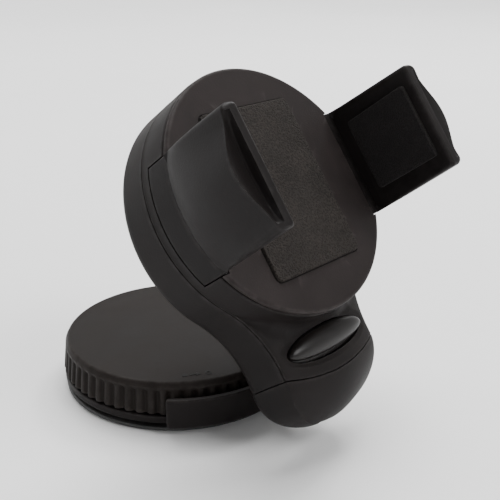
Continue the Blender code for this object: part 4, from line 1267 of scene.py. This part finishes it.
@dataclass
class Jaw:
    """One sprung jaw: upright wall, slide foot, rack and grip pad."""

    side: int
    inner: float = 0.92 * R
    half: float = 0.455 * R
    tall: float = 0.82 * R
    ledge: float = 0.85 * R
    low: float = -0.24 * R
    tip_edge: float = 4.3
    tip_bulge: float = 4.2
    scoop: float = 2.3
    ridge: float = 2.7
    corner: float = 1.7
    pad_half: float = 0.30 * R
    pad_low: float = 0.13 * R
    pad_high: float = 0.74 * R

    @property
    def label(self) -> str:
        """Which jaw this is."""
        return "right" if self.side > 0 else "left"

    def turned(self, points: Array) -> Array:
        """Right-hand points, or the same turned half round for the left jaw."""
        return points * np.array([self.side, self.side, 1.0])

    def section(self, z: float, ledge: bool, offset: float) -> Array:
        """Anticlockwise plan of the jaw at a height.

        The outside runs from a plain arc at the foot to a double curve with
        a swelling in the middle at the tip.

        Args:
            z: height over the face.
            ledge: the inner side stands on the ledge line.
            offset: how far the plan is drawn in.
        Returns:
            (n, 2) points, the same number at every height.
        """
        t = min(max(z / self.tall, 0.0), 1.0)
        half = self.half - 0.9 * t
        keep = 0.3 + self.corner * t
        v = np.concatenate([[-1.0], np.linspace(-1, 1, 61) * (1 - 2.2 * keep / half), [1.0]])
        arc_x = np.sqrt(R ** 2 - (v * half) ** 2)
        share = t / (t + 0.35 * (1 - t))
        outer = arc_x * (1 - share) + self.tip_line(v) * share
        x_in = self.ledge if ledge else self.inner
        corners: list[tuple[float, float, float]] = [(x_in, half, 0.3 + 0.9 * t), (x_in, -half, 0.3 + 0.9 * t)]
        radii = np.zeros(len(v))
        radii[[0, -1]] = keep
        corners += [(float(x), float(y), float(r)) for x, y, r in zip(outer, v * half, radii)]
        plan = rounded(corners, 6, 0.05)
        return inward(plan, offset) if offset else plan

    def tip_line(self, v: Array) -> Array:
        """Outer edge of the tip: two hollows and a swelling, (1 + cos(pi v)) / 2 high."""
        return self.inner + self.tip_edge + self.tip_bulge * (0.5 + 0.5 * np.cos(math.pi * v))

    def wall(self, look: Finishes) -> None:
        """The upright wall, lofted over its plans, with a crescent scoop in the tip."""
        rims = 0.9
        levels = [(self.low, True, 0.15), (self.low + 0.15, True, 0.0)]
        levels += [(z, True, 0.0) for z in np.linspace(self.low + 0.5, -0.3, 7)]
        levels += [(-0.12, True, 0.0), (-0.05, True, 0.1), (-0.05, False, 0.0)]
        levels += [(z, False, 0.0) for z in np.linspace(0.1, self.tall - rims - 0.1, 44)]
        for a in np.radians(np.linspace(0, 90, 7)):
            levels.append((self.tall - rims * (1 - math.sin(a)), False, rims * (1 - math.cos(a))))
        levels.append((self.tall, False, rims + 0.15))
        rings = []
        for z, ledge, offset in levels:
            plan = self.section(z, ledge, offset)
            rings.append(np.column_stack([plan, np.full(len(plan), z)]))
        name = self.label + "_jaw_wall"
        piece = skin(name, self.turned(np.stack(rings)), HEAD, start="flat", end="flat")
        piece.cut(self.scoop_tool())
        body = self.label + "_jaw_body"
        piece.finish(look.of[Stuff.JAW], body, "jaw_plastic", [self.label + "_jaw"], angle=28.0)

    def scoop_tool(self) -> Piece:
        """The crescent finger hollow.

        Across the jaw it is deep, times (1 - v ^ 2) ^ 0.6; outwards it drops
        steeply behind the ridge and climbs evenly to the outer edge.

        Returns:
            A closed piece to take away from the tip.
        """
        v = np.linspace(-0.985, 0.985, 61)
        ridge = np.full(61, self.inner + self.ridge)
        out = self.tip_line(v * 0.9) + 1.2
        deep = self.scoop * (1 - v ** 2) ** 0.6
        steps = ((0.0, 0.0, 1.2), (0.0, 0.0, -0.1), (0.12, 0.0, -0.5), (0.4, 0.0, -0.85), (0.8, 0.0, -1.0),
                 (1.0, 0.25, -0.93), (1.0, 0.5, -0.75), (1.0, 0.75, -0.53), (1.0, 1.0, -0.3), (1.0, 1.0, 1.2))
        rows = []
        for lead, share, z in steps:
            x = ridge + lead + (out - ridge - lead) * share
            level = self.tall + (z * deep if z < 0 else np.full(61, z))
            rows.append(np.column_stack([x, v * 0.9 * (self.half - 0.9), level]))
        grid = np.stack(rows, 1)
        return skin("scoop", self.turned(grid), HEAD, start="flat", end="flat")

    def slide(self, look: Finishes) -> None:
        """The hidden foot plate and toothed rack under the face."""
        low, top = -7.2, -4.6
        module, teeth_r = 0.9, 6.3
        pitch = math.pi * module
        slope = math.tan(math.radians(20))
        half = pitch / 4 - 0.085
        k = np.arange(math.ceil((-16.4 - pitch / 2) / pitch), 7)
        x = (k * pitch + pitch / 2)
        x = x[x < 17.4]
        tip, root = -(teeth_r - 0.648), -(teeth_r + 0.9)
        wide, thin = half + 0.9 * slope, half - 0.648 * slope
        tooth = np.stack([
            np.column_stack([x - wide, np.full_like(x, root)]), np.column_stack([x - thin, np.full_like(x, tip)]),
            np.column_stack([x + thin, np.full_like(x, tip)]), np.column_stack([x + wide, np.full_like(x, root)]),
        ], 1).reshape(-1, 2)
        plate = [[19.2, root - 0.01], [19.2, self.half - 0.5], [self.ledge + 1.5, self.half - 0.5],
                 [self.ledge + 1.5, -self.half + 0.5], [19.2, -self.half + 0.5], [19.2, -12.2]]
        outline = np.vstack([[[-18.0, -12.2]], np.array(plate[::-1]), tooth[::-1], [[-18.0, root]]])
        grid = np.stack([np.column_stack([outline, np.full(len(outline), z)]) for z in (low, top)])
        piece = skin(self.label + "_rack", self.turned(grid), HEAD, start="flat", end="flat")
        piece.finish(look.of[Stuff.JAW], self.label + "_jaw_body", "jaw_plastic", [self.label + "_jaw"])

    def pad(self, look: Finishes) -> None:
        """The grip pad on the inner face: a thin crowned sponge."""
        w, h = self.pad_half, (self.pad_high - self.pad_low) / 2
        outline = finer(rounded([(-w, -h, 1.1), (w, -h, 1.1), (w, h, 1.1), (-w, h, 1.1)], 6), 1.2)
        mid = (self.pad_high + self.pad_low) / 2
        probe = dome("probe", outline, 0.0, 1.62, 0.08, 0.4, GROUND, 4.0)
        mesh = probe.obj.data
        co = np.empty(len(mesh.vertices) * 3)
        mesh.vertices.foreach_get("co", co)
        p = co.reshape(-1, 3) * 1000.0
        base = self.inner + 0.45
        local = np.column_stack([base - p[:, 2], p[:, 0], mid + p[:, 1]])
        faces = [list(f.vertices) for f in mesh.polygons]
        bpy.data.objects.remove(probe.obj)
        piece = Piece(self.label + "_grip_foam", HEAD.world(self.turned(local)), faces)
        piece.finish(look.grip, self.label + "_jaw_body", "pad_foam", [self.label + "_jaw_pad"])

    def build(self, look: Finishes) -> None:
        """Make the jaw."""
        self.wall(look)
        self.slide(look)
        self.pad(look)


@dataclass
class TiltButton:
    """The long oval button in the neck with its two posts."""

    shape: NeckShape
    down: float = 1.17 * R
    a: float = 14.0
    b: float = 3.7
    post: float = 11.5

    def build(self, look: Finishes) -> None:
        """Make the domed cap and the posts under it."""
        top = self.shape.cover_top - 0.2
        skirt = oval(self.a, self.b, 128)
        outline = skirt * np.column_stack([np.ones(128), np.where(skirt[:, 1] < 0, 0.78, 1.0)])
        skirt, outline = skirt - [0.0, self.down], outline - [0.0, self.down]
        centre = np.array([0.0, 0.5 - self.down])
        rings = [np.column_stack([inward(skirt, 0.3), np.full(128, top - 2.9)])]
        for line, z in ((skirt, -2.85), (skirt, -2.7), (skirt, -1.6), (skirt, -1.5), (outline, -1.3), (outline, -0.5)):
            rings.append(np.column_stack([line, np.full(128, top + z)]))
        for k in np.linspace(0.0, 1.0, 34)[1:-1]:
            swell = math.sin(k * math.pi / 2)
            s = math.cos(k * math.pi / 2)
            ring = centre + (outline - centre) * s
            rings.append(np.column_stack([ring, np.full(len(ring), top - 0.5 + 2.2 * swell)]))
        piece = skin("tilt_button_cap", np.stack(rings), HEAD, start="flat", end="pole")
        piece.finish(look.button, "button", "jaw_plastic", ["tilt_button"], angle=40.0)
        back = float(self.shape.back(np.array(-self.down))) + 2.2
        for sx, side in ((-1, "left"), (1, "right")):
            stem = oval(1.1, 1.1, 32) + [sx * self.post, -self.down]
            pole = slab("button_post_" + side, stem, back + 3.0, top - 2.85, HEAD, 0.2)
            pole.finish(look.of[Stuff.JAW], "button", "jaw_plastic", ["tilt_button"])


@dataclass
class Fasteners:
    """The four screws that show in the back of the cradle."""

    shape: NeckShape
    at: float = 17.3

    def build(self, look: Finishes) -> None:
        """Make each screw: a pan head with a cross recess and a plain shank."""
        for sx, side in ((-1, "left"), (1, "right")):
            for sy, end in ((-1, "low"), (1, "high")):
                x, y = sx * self.at, sy * self.at
                back = float(self.shape.back(np.array(y)))
                profile = np.vstack([
                    [[0.0, back + 0.2]],
                    rounded([(0.3, back + 0.2, 0), (1.9, back + 0.3, 0.6), (2.6, back + 0.75, 0.3), (2.6, back + 1.4, 0.1),
                             (1.2, back + 1.4, 0.1), (1.2, -9.3, 0.3), (0.3, -9.3, 0.0)]),
                    [[0.0, -9.3]],
                ])
                name = "shell_screw_%s_%s" % (side, end)
                piece = revolve(name + "_head", profile, HEAD, 48)
                for lx, ly in ((1.6, 0.42), (0.42, 1.6)):
                    arm = rounded([(-lx, -ly, 0), (lx, -ly, 0), (lx, ly, 0), (-lx, ly, 0)])
                    piece.cut(slab("arm", arm, back - 1, back + 1.1, HEAD, 0.01))
                shift = HEAD.world(np.array([x, y, 0.0])) - HEAD.world(np.zeros(3))
                piece.obj.data.transform(Matrix.Translation(shift))
                piece.finish(look.of[Stuff.STEEL], "head", "plated_steel", [name])


class InnerWorks:
    """The hidden CAD pieces, which keep their shape and get a finish."""

    def build(self, look: Finishes) -> None:
        """Dress each CAD node that is still shown by its record slot."""
        slots = {s["node"]: s["material_slot"] for s in frame["record"]["subparts"]}
        for name, node in frame["nodes"].items():
            if node.hide_render:
                continue
            kind = Stuff(slots[name])
            if not node.data.materials:
                node.data.materials.append(look.of[kind])
            for i in range(len(node.material_slots)):
                node.material_slots[i].material = look.of[kind]
            LOG.info("%s: kept, %s", name, kind.value)


@dataclass
class Studio:
    """Pale floor, soft lights and the camera."""

    eye: tuple[float, float, float] = (-0.15321, -0.16907, 0.12579)
    right: tuple[float, float, float] = (0.67678506, -0.73618067, 0.0)
    up: tuple[float, float, float] = (0.2634547, 0.24219898, 0.9337726)
    lens: float = 61.2

    def floor(self) -> None:
        """A wide pale floor that curves up all round, far from the holder: 0.42 (r - 1.4) squared."""
        radius = np.concatenate([[0.02, 0.3, 0.8], np.linspace(1.4, 4.2, 40)])
        a = np.linspace(0, math.tau, 128, endpoint=False)
        x, y = radius[:, None] * np.cos(a), radius[:, None] * np.sin(a)
        z = 0.42 * np.clip(radius - 1.4, 0, None)[:, None] ** 2 + 0.0 * x
        grid = np.stack([x, y, z - 0.0002], -1)
        piece = skin("floor", grid * 1000.0, GROUND, start="pole")
        shade(piece.obj.data, 60.0)
        material, w, shader = start_material("floor_paper")
        tone = w.span(w.noise(4.0, 3.0), 0.3, 0.7)
        w.link(w.blend(tone, (0.90, 0.90, 0.90, 1), (0.93, 0.93, 0.93, 1)), shader.inputs["Base Color"])
        shader.inputs["Roughness"].default_value = 0.9
        piece.obj.data.materials.append(material)

    def light(self, name: str, place: Sequence[float], size: float, power: float,
              aim: Sequence[float] = (0.0, -0.03, 0.045)) -> None:
        """One square soft light that looks at the holder."""
        data = bpy.data.lights.new(name, "AREA")
        data.shape = "SQUARE"
        data.size = size
        data.energy = power
        lamp = bpy.data.objects.new(name, data)
        bpy.context.scene.collection.objects.link(lamp)
        away = np.array(place) - np.array(aim)
        away = away / np.linalg.norm(away)
        side = np.cross([0.0, 0.0, 1.0], away)
        side = side / max(np.linalg.norm(side), 1e-6)
        over = np.cross(away, side)
        m = np.eye(4)
        m[:3, 0], m[:3, 1], m[:3, 2], m[:3, 3] = side, over, away, place
        lamp.matrix_world = Matrix(m.tolist())

    def camera(self) -> None:
        """The camera at its fitted place."""
        data = bpy.data.cameras.new("camera")
        data.sensor_width = 36.0
        data.lens = self.lens
        data.clip_start, data.clip_end = 0.01, 20.0
        cam = bpy.data.objects.new("camera", data)
        bpy.context.scene.collection.objects.link(cam)
        m = np.eye(4)
        m[:3, 0], m[:3, 1], m[:3, 3] = self.right, self.up, self.eye
        m[:3, 2] = np.cross(self.right, self.up)
        cam.matrix_world = Matrix(m.tolist())
        bpy.context.scene.camera = cam

    def build(self) -> None:
        """Set the stage."""
        self.floor()
        self.light("overhead", (0.6, 0.8, 2.6), 2.2, 118.0)
        self.light("front_fill", (0.35, -1.4, 1.45), 0.8, 20.0)
        self.light("side_key", (0.75, 0.15, 0.8), 0.25, 5.0)
        world = bpy.data.worlds.new("studio")
        bpy.context.scene.world = world
        world.use_nodes = True
        background = world.node_tree.nodes["Background"]
        background.inputs[0].default_value = (1.0, 1.0, 1.0, 1.0)
        background.inputs[1].default_value = 0.12
        self.camera()


def main() -> None:
    """Build the holder piece by piece and report each one."""
    logging.basicConfig(level=logging.INFO, format="%(message)s")
    look = Finishes()
    Studio().build()
    SuctionBase().build(look)
    LockDial().build(look)
    shape = NeckShape()
    shells = Shells(shape)
    shells.build(look)
    HingeCap(shape, shells).build(look)
    Jaw(1).build(look)
    Jaw(-1).build(look)
    TiltButton(shape).build(look)
    Fasteners(shape).build(look)
    InnerWorks().build(look)


if __name__ == "__main__":
    main()
